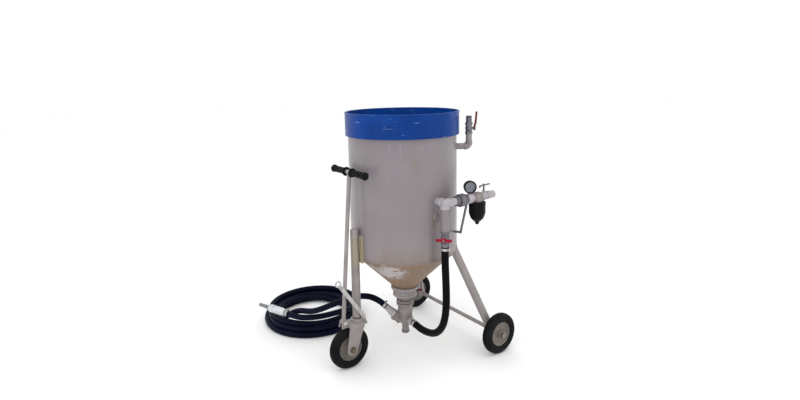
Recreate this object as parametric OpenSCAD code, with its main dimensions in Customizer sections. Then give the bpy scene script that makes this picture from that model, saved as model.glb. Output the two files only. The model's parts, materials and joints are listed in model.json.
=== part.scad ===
// Portable abrasive blasting pot on three wheels, with its air and blast hoses.
// Frame: +Z up, floor at z = 0, tank axis on Z, front caster towards -Y, air manifold towards +X.

/* [Tank] */
// Outer radius of the tank shell
tank_r = 260; // [250:1:270]
// Wall thickness of the shell and cone
wall = 6; // [4:1:8]
// Height of the seam between shell and cone
seam_z = 523; // [515:1:530]
// Height of the shell's top edge
shell_top_z = 1104; // [1100:1:1110]
// Outer radius of the blue collar
collar_r = 273; // [270:1:278]
// Height of the collar's top edge
collar_top_z = 1194; // [1180:1:1210]
// Height of the collar's bottom edge
collar_low_z = 1089; // [1085:1:1095]
// Height of the cone's outlet
outlet_z = 326; // [320:1:330]

/* [Wheels] */
// Wheel radius
wheel_r = 100; // [95:1:102]
// Radius of the rim under the tyre
rim_r = 59; // [54:1:62]
// Tyre width
tyre_w = 45; // [38:1:48]
// Distance of each rear wheel from the middle
rear_x = 335; // [325:1:345]
// Distance of the rear axle behind the tank axis
rear_y = 324; // [315:1:335]
// Distance of the front axle ahead of the tank axis
front_y = 330; // [325:1:335]

/* [Legs] */
// Outer radius of the leg tubes
leg_r = 20; // [18:1:21]
// Distance of the front leg ahead of the tank axis
leg_y = 283; // [282:1:284]
// Height of the front leg's lower end
leg_low_z = 242; // [241:1:244]

/* [Tow handle] */
// Height of the cross bar's axis
handle_z = 936; // [900:1:950]
// Distance of the cross bar ahead of the tank axis
handle_y = 300; // [299:1:303]
// Radius of the handle tubes
handle_r = 9.5; // [8:0.5:10]
// Half the length of the cross bar with its grips
grip_end = 140; // [120:1:150]

/* [Air pipes] */
// Outer radius of the air pipes
pipe_r = 17; // [16:0.5:18]
// Outer radius of the vent pipe
vent_pipe_r = 15; // [15:0.5:17]
// Bore radius of the air pipes
bore_r = 12.5; // [11:0.5:13]
// Distance of the manifold from the tank axis
manifold_x = 312; // [308:1:316]
// Height of the manifold
manifold_z = 802; // [798:1:806]

/* [Hoses] */
// Outer radius of the air hose
air_hose_r = 17; // [15:0.5:18]
// Outer radius of the blast hose
blast_hose_r = 15; // [14:0.5:16]

/* [Hidden] */
$fn = 96;

gap = 0.3;
running = 0.05;
inner_r = tank_r - wall;
side_angle = 54;          // bearing of the vent and of the outlet, from +X
throat_r = 50;
seal_low_z = 1028;
popup_z = 980;
stem_r = 16.95;
cone_low_r = 58;
pad_t = 5;
pad_low_z = 506;
pad_w = 70;
pad_h = 130;
leg_top_z = 660;
leg_cap_h = 12;
crown_z = 208;
crown_t = 12;
boss_top_z = 236;
pin_r = 12;
plate_x = 30;
plate_t = 6;
fork_end_r = 28;
axle_r = 10;
bolt_r = 8;
hub_w = 52;
hub_r = 20;
web_t = 5;
shoulder_r = 20;
rim_holes = 5;
rim_hole_at = 37;
tow_y = 356;
tow_z = 232;
tow_pin_r = 6;
tow_lean = atan((tow_y - handle_y) / (handle_z - tow_z));
catch_x = 27;
catch_y = 262;
catch_z = 246;
catch_angle = 34.6;
catch_len = 231;
rear_leg_x = 282;
rear_leg_top = [182, 158, 540];
vent_x = 320;
vent_z = 1022;
vent_ball_z = 1109;
lever_x = 25;
vent_lever_top = 80;
vent_half = 27;
vent_nipple_h = 32;
elbow_r = 18;
ball_r = 15.5;
union_y = 62;
tee_y = 131;
tee_flat = 20.5;
ball_bore_r = bore_r + 0.7;
gauge_neck_h = 24;
gauge_y = 149;
gauge_z = 857;
gauge_r = 30;
gauge_turn = -30;
filter_y = 165;
filter_mid_y = 196;
bowl_r = 40;
brace_r = 5.5;
brace_low = [256, 144, 630];
bowl_top_z = 781;
inlet_y = 238;
inlet_end_y = 300;
down_low_z = 675;
air_ball_z = 642;
air_side = -50;            // bearing of the air valve's stem, from +X
hose_top_z = 604;
hose_in_z = 148;
plug_y = -6;
plug_z = 730;
plug_r = 18;
media_z = 296;
media_angle = 54;
outlet_port_z = 133;
outlet_start = 18;
nozzle_at = [-503, -443, 119];
nozzle_to = [-593, -487, 126];
nozzle_len = 168;
holder_grip = 14;         // length of the holder's sleeve over the hose

// Points of the air hose, from the down pipe to the metering valve
air_route = [
    [312, 0, 604], [312, 0, 535], [315, 0, 465], [318, 0, 400], [318, 0, 340], [312, 0, 285],
    [298, 0, 235], [275, 0, 196], [245, 0, 168], [210, 0, 151], [170, 0, 142], [130, 0, 140],
    [95, 0, 144], [66, 0, 148]
];
// Points of the blast hose, from the outlet reducer down to the coil
lead_route = [
    [-58, -80, 213], [-74, -102, 238], [-92, -127, 258], [-113, -155, 268], [-138, -187, 267],
    [-167, -221, 256], [-200, -254, 238], [-238, -284, 214], [-282, -311, 187], [-328, -335, 162],
    [-376, -355, 145], [-424, -372, 138], [-468, -388, 122], [-510, -404, 94], [-548, -422, 62]
];
// Points of the blast hose, from the coil to the nozzle
end_route = [
    [-400, -60, 72], [-372, -105, 90], [-350, -160, 105], [-338, -220, 112], [-345, -285, 112],
    [-368, -345, 112], [-408, -395, 112], [-458, -421, 116], [-503, -443, 119]
];
coil_at = [-590, -225];
coil_inner_r = 180;
coil_outer_r = 285;
coil_h = 95;

function unit(v) = v / norm(v);
function tangent(p, i) = unit(p[min(i + 1, len(p) - 1)] - p[max(i - 1, 0)]);

// A round tube of radius r along the points p; side is a direction that p never follows
module swept(p, r, side, sides = 12) {
    points = [
        for (i = [0 : len(p) - 1])
            let (t = tangent(p, i), s = unit(cross(t, side)), n = cross(s, t))
                for (k = [0 : sides - 1])
                    p[i] + r * cos(360 * k / sides) * s + r * sin(360 * k / sides) * n
    ];
    walls = [
        for (i = [0 : len(p) - 2])
            for (k = [0 : sides - 1])
                let (a = i * sides + k, b = i * sides + (k + 1) % sides)
                    each [[a, b, b + sides], [a, b + sides, a + sides]]
    ];
    start = [for (k = [sides - 1 : -1 : 0]) k];
    end = [for (k = [0 : sides - 1]) (len(p) - 1) * sides + k];
    polyhedron(points, concat([start], walls, [end]), convexity = 10);
}

module tube(r_out, r_in, h) {
    difference() {
        cylinder(r = r_out, h = h);
        translate([0, 0, -1]) cylinder(r = r_in, h = h + 2);
    }
}

// A straight round bar of radius r between two points
module bar(a, b, r) {
    d = b - a;
    translate(a) rotate([0, acos(d[2] / norm(d)), atan2(d[1], d[0])]) cylinder(r = r, h = norm(d));
}

module along_x() { rotate([0, 90, 0]) children(); }
module along_y() { rotate([-90, 0, 0]) children(); }
module at_side() { rotate([0, 0, side_angle]) children(); }
module at_manifold(y) { translate([manifold_x, y, manifold_z]) children(); }

// A hexagonal nut blank with a bore, across flats 2 * r
module hex(r, h, r_in) {
    difference() {
        cylinder(r = r / cos(30), h = h, $fn = 6);
        translate([0, 0, -1]) cylinder(r = r_in, h = h + 2);
    }
}

// Body of a ball valve, its bore on Z and its stem on +X, centred on its ball
module valve_body(half, r, ball_r) {
    difference() {
        union() {
            translate([0, 0, -half]) cylinder(r = 0.93 * r, h = 2 * half);
            for (z = [-half, 0.58 * half]) translate([0, 0, z])
                cylinder(r = r / cos(22.5), h = 0.42 * half, $fn = 8);
            sphere(r = 1.08 * r);
            along_x() cylinder(r = 0.42 * r, h = r + 7);
        }
        sphere(r = ball_r + gap);
        translate([0, 0, -half - 1]) cylinder(r = bore_r, h = 2 * half + 2);
        along_x() cylinder(r = 4 + running, h = r + 8);
    }
}

// Ball and stem that turn in a valve body; the stem reaches to x = reach
module valve_ball(ball_r, reach) {
    difference() {
        union() {
            sphere(r = ball_r);
            along_x() cylinder(r = 4, h = reach);
        }
        translate([0, 0, -ball_r]) cylinder(r = ball_bore_r, h = 2 * ball_r);
    }
}

module tank_shell() {
    color("gainsboro") difference() {
        translate([0, 0, seam_z]) tube(tank_r, inner_r, shell_top_z - seam_z);
        translate([inner_r - 5, 0, manifold_z]) along_x() cylinder(r = pipe_r, h = wall + 10);
        at_side() translate([inner_r - 5, 0, vent_z]) along_x() cylinder(r = vent_pipe_r, h = wall + 10);
        translate([inner_r - 5, plug_y, plug_z]) along_x() cylinder(r = plug_r - 6, h = wall + 10);
    }
}

// Dished head with the welded filling ring in its middle
module tank_head() {
    color("gainsboro") rotate_extrude() polygon([
        [inner_r, 1102], [inner_r, 1094], [236, 1084], [150, 1056], [60, 1044], [60, 1036],
        [throat_r, 1036], [throat_r, 1062], [60, 1062], [60, 1052], [148, 1064], [232, 1091],
        [246, 1102]
    ]);
}

module filling_seal() {
    color("dimgray") translate([0, 0, seal_low_z]) tube(58, 44, 8);
}

module collar() {
    color("mediumblue") {
        rotate_extrude() polygon([
            [tank_r, collar_low_z], [collar_r, collar_low_z], [collar_r, collar_top_z],
            [collar_r - 4, collar_top_z], [collar_r - 4, collar_low_z + 5], [tank_r, collar_low_z + 5]
        ]);
        translate([0, 0, collar_top_z]) rotate_extrude() translate([collar_r - 2, 0]) circle(r = 4);
    }
}

module tank_cone() {
    color("tan") rotate_extrude() polygon([
        [tank_r, seam_z], [cone_low_r, outlet_z], [cone_low_r - wall - 2, outlet_z],
        [inner_r - 2, seam_z]
    ]);
}

// Air pipe inside the tank: in from the manifold, then up to carry the pop-up valve
module air_standpipe() {
    color("lightgray") difference() {
        union() {
            translate([0, 0, manifold_z - 24]) cylinder(r = 21, h = popup_z - 10 - manifold_z + 24);
            translate([0, 0, manifold_z]) along_x() cylinder(r = pipe_r, h = manifold_x - 23);
        }
        translate([0, 0, manifold_z - pipe_r]) cylinder(r = stem_r + running, h = 300);
        translate([0, 0, manifold_z]) along_x() cylinder(r = bore_r, h = manifold_x);
    }
}

module popup_valve() {
    color("slategray") {
        translate([0, 0, popup_z]) rotate_extrude()
            polygon([[0, 0], [54, 0], [54, 4], [8, 38], [0, 38]]);
        translate([0, 0, popup_z - 110]) cylinder(r = stem_r, h = 111);
    }
}

module leg_pad() {
    color("wheat") intersection() {
        translate([0, 0, pad_low_z]) tube(tank_r + pad_t, tank_r, pad_h);
        translate([-pad_w / 2, -tank_r - 20, pad_low_z - 5]) cube([pad_w, 60, pad_h + 10]);
    }
}

module front_leg() {
    color("gainsboro") difference() {
        translate([0, -leg_y, 0]) rotate_extrude() polygon(concat(
            [[15, leg_low_z], [leg_r, leg_low_z], [leg_r, leg_top_z]],
            [for (a = [15 : 15 : 90]) [leg_r * cos(a), leg_top_z + leg_cap_h * sin(a)]],
            [[0, leg_top_z - 5], [15, leg_top_z - 5]]
        ));
        translate([0, 0, 500]) cylinder(r = tank_r + pad_t, h = 200);
    }
}

module swivel_bush() {
    color("peru") translate([0, -leg_y, leg_low_z]) tube(15, pin_r + running, 50);
}

// Crown plate, bearing boss, side plates, tow ears and catch ear of the swivelling fork
module swivel_fork() {
    color("gainsboro") difference() {
        union() {
            translate([-plate_x - plate_t, -342, crown_z])
                cube([2 * (plate_x + plate_t), 94, crown_t]);
            translate([0, -leg_y, crown_z]) cylinder(r = 30, h = boss_top_z - crown_z);
            for (x = [-plate_x - plate_t, plate_x])
                translate([x, 0, 0]) rotate([90, 0, 90]) linear_extrude(plate_t) union() {
                    polygon([
                        [-262, crown_z + 1], [-340, crown_z + 1], [-front_y - fork_end_r, wheel_r],
                        [-front_y + fork_end_r, wheel_r]
                    ]);
                    translate([-front_y, wheel_r]) circle(r = fork_end_r);
                }
            for (x = [-17, 11.5]) translate([x, -368, crown_z]) cube([5.5, 30, 38]);
            translate([21.4, -274, crown_z]) cube([5.3, 24, 48]);
        }
        translate([0, -leg_y, crown_z - 1]) cylinder(r = pin_r, h = 40);
        translate([-50, -front_y, wheel_r]) along_x() cylinder(r = bolt_r, h = 100);
        translate([-25, -tow_y, tow_z]) along_x() cylinder(r = tow_pin_r, h = 50);
        translate([15, -catch_y, catch_z]) along_x() cylinder(r = 4, h = 20);
    }
}

// Kingpin with its head under the crown and its retaining ring above the bush
module kingpin() {
    color("silver") translate([0, -leg_y, 0]) {
        translate([0, 0, crown_z - 4]) cylinder(r = 17, h = 4);
        translate([0, 0, crown_z]) cylinder(r = pin_r, h = 92);
        translate([0, 0, 294]) cylinder(r = 14, h = 3);
    }
}

module thrust_washer() {
    color("peru") translate([0, -leg_y, boss_top_z]) tube(22, pin_r, leg_low_z - gap - boss_top_z);
}

module front_axle_bolt() {
    color("silver") translate([0, -front_y, wheel_r]) along_x() {
        translate([0, 0, -36]) cylinder(r = bolt_r, h = 90);
        translate([0, 0, -44]) cylinder(r = 13, h = 8, $fn = 6);
        translate([0, 0, 36]) hex(12, 12, bolt_r - 0.5);
        for (z = [-plate_x, 26.3]) translate([0, 0, z]) tube(14, bolt_r - 0.5, 3.7);
    }
}

module tyre(x, y) {
    color("darkslategray") translate([x, y, wheel_r]) along_x() rotate_extrude() polygon(concat(
        [[rim_r, 6 - tyre_w / 2]],
        [for (a = [-105 : 15 : 105]) [wheel_r - shoulder_r + shoulder_r * cos(a), tyre_w / 2 * sin(a)]],
        [[rim_r, tyre_w / 2 - 6]]
    ));
}

module rim(x, y, r_in) {
    color("tan") translate([x, y, wheel_r]) along_x() difference() {
        rotate_extrude() polygon([
            [r_in, -hub_w / 2], [hub_r, -hub_w / 2], [hub_r + 2, -web_t], [rim_r - 8, -web_t],
            [rim_r - 5, -16], [rim_r, -16], [rim_r, 16], [rim_r - 5, 16], [rim_r - 8, web_t],
            [hub_r + 2, web_t], [hub_r, hub_w / 2], [r_in, hub_w / 2]
        ]);
        for (k = [0 : rim_holes - 1]) rotate([0, 0, 360 * k / rim_holes])
            translate([rim_hole_at, 0, -10]) cylinder(r = 5, h = 20);
    }
}

module front_tyre() tyre(0, -front_y);
module front_rim() rim(0, -front_y, bolt_r + running);
module rear_tyre_left() tyre(-rear_x, rear_y);
module rear_rim_left() rim(-rear_x, rear_y, axle_r + running);
module rear_tyre_right() tyre(rear_x, rear_y);
module rear_rim_right() rim(rear_x, rear_y, axle_r + running);

// Hinge pin of the tow handle and bolt of the catch lever
module fork_pins() {
    color("silver") {
        translate([0, -tow_y, tow_z]) along_x() {
            translate([0, 0, -21]) cylinder(r = tow_pin_r, h = 42);
            for (z = [-21, 17]) translate([0, 0, z]) tube(9, tow_pin_r - 0.5, 4);
        }
        translate([0, -catch_y, catch_z]) along_x() {
            translate([0, 0, 21.4]) cylinder(r = 4, h = 15);
            translate([0, 0, catch_x + 5 + gap]) cylinder(r = 7, h = 5, $fn = 6);
        }
    }
}

module tow_tube() {
    color("gainsboro") difference() {
        union() {
            translate([-11, -tow_y, tow_z]) along_x() cylinder(r = 11, h = 22);
            translate([0, -tow_y, tow_z]) rotate([-tow_lean, 0, 0])
                cylinder(r = handle_r, h = norm([handle_z - tow_z, tow_y - handle_y]));
        }
        translate([-20, -tow_y, tow_z]) along_x() cylinder(r = tow_pin_r + running, h = 40);
        translate([-20, -handle_y, handle_z]) along_x() cylinder(r = handle_r, h = 40);
    }
}

module tow_cross_bar() {
    color("silver") translate([0, -handle_y, handle_z]) along_x() {
        translate([0, 0, 3 - grip_end]) cylinder(r = handle_r, h = 2 * grip_end - 6);
    }
}

module tow_grips() {
    color("black") translate([0, -handle_y, handle_z]) for (s = [-1, 1]) rotate([0, s * 90, 0])
        rotate_extrude() polygon([
            [handle_r, 24], [21, 24], [21, 29], [15, 31], [15, 130], [18, 133], [18, grip_end - 2],
            [16, grip_end], [0, grip_end], [0, grip_end - 3], [handle_r, grip_end - 3]
        ]);
}

// Flat bar with a pull ring at its far end
module catch_lever() {
    color("silver") translate([catch_x, -catch_y, catch_z]) rotate([catch_angle, 0, 0])
        along_x() difference() {
            union() {
                translate([-catch_len + 14, -9, 0]) cube([catch_len - 14, 18, 5]);
                cylinder(r = 9, h = 5);
                translate([-catch_len, 0, 0]) cylinder(r = 16, h = 5);
            }
            translate([0, 0, -1]) cylinder(r = 4 + running, h = 7);
            translate([-catch_len, 0, -1]) cylinder(r = 9, h = 7);
        }
}

module rear_legs() {
    color("gainsboro") difference() {
        for (s = [-1, 1]) bar([s * rear_leg_top[0], rear_leg_top[1], rear_leg_top[2]],
            [s * rear_leg_x, rear_y, wheel_r - 4], leg_r);
        translate([0, 0, seam_z]) cylinder(r = tank_r, h = 100);
        translate([0, 0, outlet_z]) cylinder(r1 = cone_low_r, r2 = tank_r, h = seam_z - outlet_z);
        translate([-400, rear_y, wheel_r]) along_x() cylinder(r = axle_r, h = 800);
    }
}

module rear_axle() {
    color("gainsboro") translate([0, rear_y, wheel_r]) along_x()
        translate([0, 0, -rear_x - 37]) cylinder(r = axle_r, h = 2 * rear_x + 74);
}

// Washers and caps that keep the rear wheels on the axle
module axle_caps() {
    color("silver") translate([0, rear_y, wheel_r]) for (s = [-1, 1]) rotate([0, s * 90, 0]) {
        translate([0, 0, rear_x - 31]) tube(15, axle_r, 31 - hub_w / 2 - gap);
        translate([0, 0, rear_x + hub_w / 2 + gap]) tube(15, axle_r, 3);
        translate([0, 0, rear_x + hub_w / 2 + 3 + gap]) tube(12, axle_r, 5);
    }
}

// Horizontal nipple, elbow and riser of the vent
module vent_pipe() {
    color("gainsboro") at_side() translate([0, 0, vent_z]) difference() {
        union() {
            translate([inner_r, 0, 0]) along_x() cylinder(r = vent_pipe_r, h = vent_x - inner_r);
            translate([vent_x - 22, 0, 0]) along_x() cylinder(r = elbow_r, h = 22);
            translate([vent_x, 0, 0]) sphere(r = elbow_r);
            translate([vent_x, 0, 0]) cylinder(r = elbow_r, h = 22);
            translate([vent_x, 0, 0]) cylinder(r = vent_pipe_r, h = vent_ball_z - vent_half - vent_z);
        }
        translate([inner_r - 1, 0, 0]) along_x() cylinder(r = bore_r, h = vent_x - inner_r + 1);
        translate([vent_x, 0, 0]) cylinder(r = bore_r, h = 200);
    }
}

module vent_valve_body() {
    color("gray") at_side() translate([vent_x, 0, vent_ball_z]) {
        valve_body(vent_half, 16, ball_r);
        translate([0, 0, vent_half]) tube(bore_r + 1.5, bore_r, vent_nipple_h);
    }
}

module vent_ball() {
    color("silver") at_side() translate([vent_x, 0, vent_ball_z]) valve_ball(ball_r, lever_x + 4);
}

module vent_lever() {
    color("darkred") at_side() translate([vent_x + lever_x + 1, 0, vent_ball_z]) difference() {
        translate([0, -7.5, -12]) cube([3, 15, vent_lever_top + 12]);
        translate([-1, 0, 0]) along_x() cylinder(r = 4, h = 5);
    }
}

// Cross at the tank wall: to the standpipe, the down pipe and the manifold nipple
module pipe_cross() {
    color("gainsboro") at_manifold(0) difference() {
        union() {
            sphere(r = 23);
            translate([-23, 0, 0]) along_x() cylinder(r = 22, h = 23);
            along_y() cylinder(r = 22, h = 26);
            along_y() cylinder(r = pipe_r, h = union_y);
            translate([0, 0, -26]) cylinder(r = 22, h = 26);
        }
        translate([-24, 0, 0]) along_x() cylinder(r = bore_r, h = 24);
        along_y() cylinder(r = bore_r, h = union_y + 1);
        translate([0, 0, -27]) cylinder(r = bore_r, h = 27);
    }
}

module pipe_union() {
    color("dimgray") at_manifold(union_y) along_y() {
        difference() {
            union() {
                cylinder(r = 24, h = 20);
                translate([0, 0, 20]) cylinder(r = 29, h = 26, $fn = 8);
                translate([0, 0, 46]) cylinder(r = 24, h = 18);
                translate([0, 0, 64]) cylinder(r = pipe_r, h = tee_y - union_y - 64);
            }
            translate([0, 0, -1]) cylinder(r = bore_r, h = 80);
        }
    }
}

module gauge_tee() {
    color("gainsboro") difference() {
        union() {
            at_manifold(tee_y) along_y() cylinder(r = tee_flat / cos(30), h = filter_y - tee_y, $fn = 6);
            at_manifold(gauge_y) cylinder(r = 9, h = gauge_neck_h);
        }
        at_manifold(tee_y - 1) along_y() cylinder(r = bore_r, h = 40);
        at_manifold(gauge_y) cylinder(r = 3, h = gauge_neck_h + 1);
    }
}

module at_gauge() { translate([manifold_x, gauge_y, gauge_z]) rotate([0, 0, gauge_turn]) along_x() children(); }

module gauge_case() {
    color("black") {
        at_gauge() difference() {
            translate([0, 0, -12]) cylinder(r = gauge_r, h = 26);
            translate([0, 0, 4]) cylinder(r = gauge_r - 3, h = 11);
        }
        at_gauge() cylinder(r = 1, h = 6);
    }
    color("black") difference() {
        at_manifold(gauge_y) translate([0, 0, gauge_neck_h]) cylinder(r = 8, h = 8);
        at_gauge() translate([0, 0, -12]) cylinder(r = gauge_r, h = 26);
    }
}

module gauge_needle() {
    color("red") at_gauge() translate([0, 0, 7]) rotate([0, 0, -45]) difference() {
        union() {
            cylinder(r = 3, h = 1.5);
            translate([-6, -0.8, 0]) cube([27, 1.6, 1.5]);
        }
        translate([0, 0, -1]) cylinder(r = 1 + running, h = 4);
    }
}

module gauge_glass() {
    color("lightcyan", 0.4) at_gauge() translate([0, 0, 11]) cylinder(r = gauge_r - 3, h = 2.5);
}

module filter_head() {
    color("dimgray") difference() {
        union() {
            at_manifold(filter_y) translate([-26, 0, -21]) cube([52, inlet_y - 24 - filter_y, 40]);
            at_manifold(filter_mid_y) translate([0, 0, -21]) cylinder(r = 28, h = 44);
        }
        at_manifold(filter_y - 5) along_y() cylinder(r = bore_r, h = 80);
        for (y = [inlet_y - 24, filter_y - 40])
            at_manifold(y) translate([-40, 0, -40]) cube([80, 40, 80]);
        at_manifold(filter_mid_y) translate([0, 0, -22]) cylinder(r = 9, h = 20);
    }
}

module filter_bowl() {
    color("black") translate([manifold_x, filter_mid_y, bowl_top_z]) rotate_extrude() polygon([
        [10, 0], [bowl_r, 0], [bowl_r, -56], [31, -78], [11, -97], [11, -101], [6, -101],
        [6, -96], [27, -75], [bowl_r - 4, -54], [bowl_r - 4, -4], [10, -4]
    ]);
}

module filter_drain() {
    color("black") translate([manifold_x, filter_mid_y, bowl_top_z - 108])  {
        translate([0, 0, 6.7]) cylinder(r = 6 - running, h = 5);
        cylinder(r = 8, h = 6.7, $fn = 8);
    }
}

module inlet_valve_body() {
    color("gainsboro") at_manifold(inlet_y) along_y() rotate([0, 0, -90]) {
        valve_body(24, 19, ball_r);
        translate([0, 0, 24]) tube(pipe_r, bore_r, inlet_end_y - inlet_y - 24);
    }
}

module inlet_ball() {
    color("silver") at_manifold(inlet_y) along_y() rotate([0, 0, -90]) valve_ball(ball_r, 52);
}

module inlet_lever() {
    color("darkgray") at_manifold(inlet_y) along_y() rotate([0, 0, -90]) translate([49, 0, 0])
        difference() {
            translate([0, -7, -30]) cube([3, 14, 70]);
            translate([-1, 0, 0]) along_x() cylinder(r = 4, h = 5);
        }
}

module manifold_brace() {
    color("gray") difference() {
        union() {
            bar([300, 146, manifold_z - 10], brace_low, brace_r);
            translate(brace_low) sphere(r = brace_r + 1);
            bar(brace_low, [brace_low[0] - 40, brace_low[1] - 20, brace_low[2]], brace_r);
        }
        cylinder(r = tank_r, h = 900);
        at_manifold(tee_y) along_y() cylinder(r = tee_flat / cos(30), h = filter_y - tee_y, $fn = 6);
    }
}

// Inspection socket and its hexagonal plug on the tank's side
module side_plug() {
    color("white") difference() {
        translate([inner_r - 4, plug_y, plug_z]) along_x() union() {
            cylinder(r = plug_r, h = 20);
            cylinder(r = 11, h = 27, $fn = 6);
        }
        translate([0, 0, plug_z - 30]) cylinder(r = tank_r, h = 60);
    }
}

module down_pipe() {
    color("gainsboro") translate([manifold_x, 0, down_low_z])
        tube(pipe_r, bore_r, manifold_z - 26 - down_low_z);
}

module at_air_valve() {
    translate([manifold_x, 0, air_ball_z]) rotate([0, 0, air_side]) children();
}

module air_valve_body() {
    color("gray") at_air_valve() valve_body(down_low_z - air_ball_z, 19, ball_r);
}

module air_ball() {
    color("silver") at_air_valve() valve_ball(ball_r, 33);
}

module air_valve_handle() {
    color("crimson") at_air_valve() translate([30, 0, 0]) difference() {
        union() {
            translate([0, -36, -7]) cube([5, 72, 14]);
            along_x() cylinder(r = 11, h = 8);
        }
        translate([-1, 0, 0]) along_x() cylinder(r = 4, h = 4);
    }
}

// Hose tails at both ends of the air hose and their clamps
module hose_fittings() {
    color("silver") {
        translate([manifold_x, 0, hose_top_z])
            tube(14, 10, 2 * air_ball_z - down_low_z - hose_top_z);
        translate([manifold_x, 0, hose_top_z - 16]) tube(air_hose_r + 2, air_hose_r, 12);
        translate([43, 0, hose_in_z]) along_x() tube(14, 10, 23);
        translate([72, 0, hose_in_z - 0.7]) rotate([0, 96, 0]) tube(air_hose_r + 2, air_hose_r, 12);
    }
}

module air_hose() { color("#202024") swept(air_route, air_hose_r, [0, 1, 0]); }

// Flanged shut-off under the cone
module media_valve() {
    color("gainsboro") difference() {
        rotate_extrude() polygon([
            [30, outlet_z], [70, outlet_z], [70, 312], [62, 310], [62, 276], [38, 262], [33, 258],
            [33, 250], [24, 250], [24, 262], [30, 270]
        ]);
        at_media() cylinder(r = 5 + running, h = 80);
    }
}

module at_media() { rotate([0, 0, media_angle]) translate([0, 0, media_z]) along_x() children(); }

module media_lever() {
    color("darkred") at_media() {
        translate([0, 0, 40]) cylinder(r = 5, h = 42);
        translate([-46, -8, 80]) cube([46, 16, 4]);
        translate([0, 0, 80]) cylinder(r = 9, h = 4);
    }
}

// Body with the outlet port rising at 45 degrees and the air port towards the down pipe
module metering_valve() {
    color("lightgray") difference() {
        union() {
            translate([0, 0, 130]) cylinder(r = 34, h = 95);
            translate([0, 0, 224]) cylinder(r = 44, h = 12);
            translate([0, 0, 236]) cylinder(r = 33, h = 3);
            translate([0, 0, 239]) cylinder(r = 44, h = 11);
            translate([0, 0, 116]) cylinder(r1 = 20, r2 = 34, h = 14);
            translate([0, 0, 80]) cylinder(r = 17, h = 38);
            translate([0, 0, 74]) cylinder(r = 20, h = 16, $fn = 6);
            at_outlet() cylinder(r = 22, h = 55);
            at_outlet() translate([0, 0, 38]) cylinder(r = 29, h = 12);
            translate([0, 0, hose_in_z]) along_x() cylinder(r = 20, h = 43);
        }
        translate([0, 0, 140]) cylinder(r = 22, h = 120);
        at_outlet() cylinder(r = 12.5, h = 60);
        translate([0, 0, hose_in_z]) along_x() cylinder(r = 10, h = 50);
    }
}

module at_outlet() {
    at_side() translate([-outlet_start, 0, outlet_port_z]) rotate([0, -45, 0]) children();
}

module outlet_reducer() {
    color("white") at_outlet() translate([0, 0, 55]) rotate_extrude() polygon([
        [12.5, 0], [22, 0], [22, 12], [16, 40], [16, 58], [12.5, 58]
    ]);
}

// Blast hose from the outlet down onto its coil
module blast_hose_lead() { color("#1c2030") swept(lead_route, blast_hose_r, [0, 0, 1]); }

// Outer shape of the coil on the floor
module blast_hose_coil() {
    color("#1c2030") translate([coil_at[0], coil_at[1], 0]) tube(coil_outer_r, coil_inner_r, coil_h);
}

// Last stretch of the blast hose, from the coil to the nozzle
module blast_hose_end() { color("#1c2030") swept(end_route, blast_hose_r, [0, 0, 1]); }

// Nozzle holder and its tapered nozzle
module blast_nozzle() {
    d = nozzle_to - nozzle_at;
    color("silver") translate(nozzle_at) rotate([0, acos(d[2] / norm(d)), atan2(d[1], d[0])])
        rotate_extrude() polygon([
            [6, 2 * gap], [blast_hose_r + 0.2, 2 * gap], [blast_hose_r + 0.2, -holder_grip],
            [19, -holder_grip], [19, 8], [21, 12], [21, 88], [18, 96], [14, 100], [11, 104],
            [8.5, nozzle_len], [6, nozzle_len]
        ]);
}

tank_shell();
tank_head();
filling_seal();
collar();
tank_cone();
air_standpipe();
popup_valve();
leg_pad();
front_leg();
swivel_bush();
swivel_fork();
kingpin();
thrust_washer();
front_axle_bolt();
front_tyre();
front_rim();
fork_pins();
tow_tube();
tow_cross_bar();
tow_grips();
catch_lever();
rear_legs();
rear_axle();
axle_caps();
rear_tyre_left();
rear_rim_left();
rear_tyre_right();
rear_rim_right();
vent_pipe();
vent_valve_body();
vent_ball();
vent_lever();
pipe_cross();
pipe_union();
gauge_tee();
gauge_case();
gauge_needle();
gauge_glass();
filter_head();
filter_bowl();
filter_drain();
inlet_valve_body();
inlet_ball();
inlet_lever();
manifold_brace();
side_plug();
down_pipe();
air_valve_body();
air_ball();
air_valve_handle();
hose_fittings();
air_hose();
media_valve();
media_lever();
metering_valve();
outlet_reducer();
blast_hose_lead();
blast_hose_coil();
blast_hose_end();
blast_nozzle();
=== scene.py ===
"""Looks of a portable blasting pot: its hoses, its detailed pieces and the finish of every surface."""
import json
import math

import bmesh
import bpy
from mathutils import Matrix, Vector, noise


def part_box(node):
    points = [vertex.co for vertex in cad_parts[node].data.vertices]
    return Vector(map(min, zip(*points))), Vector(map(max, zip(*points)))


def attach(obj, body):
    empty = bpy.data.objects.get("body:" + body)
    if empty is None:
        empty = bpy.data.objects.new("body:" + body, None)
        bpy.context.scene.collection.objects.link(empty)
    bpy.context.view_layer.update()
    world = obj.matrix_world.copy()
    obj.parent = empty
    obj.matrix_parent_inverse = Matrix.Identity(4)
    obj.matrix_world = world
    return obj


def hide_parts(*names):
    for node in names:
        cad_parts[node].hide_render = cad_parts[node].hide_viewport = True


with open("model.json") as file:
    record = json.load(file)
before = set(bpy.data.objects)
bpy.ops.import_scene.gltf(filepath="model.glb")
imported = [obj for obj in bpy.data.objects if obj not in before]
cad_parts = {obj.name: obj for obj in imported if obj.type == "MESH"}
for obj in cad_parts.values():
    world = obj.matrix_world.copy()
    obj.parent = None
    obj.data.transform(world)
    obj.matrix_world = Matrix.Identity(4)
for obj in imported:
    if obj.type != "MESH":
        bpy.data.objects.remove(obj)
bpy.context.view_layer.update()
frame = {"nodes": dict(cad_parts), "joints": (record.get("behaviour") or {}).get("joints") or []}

mm = 0.001
X, Y, Z = Vector((1, 0, 0)), Vector((0, 1, 0)), Vector((0, 0, 1))
joints = {j["name"]: j for j in frame["joints"]}


# ---------------------------------------------------------------- places, taken from the frame

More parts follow.
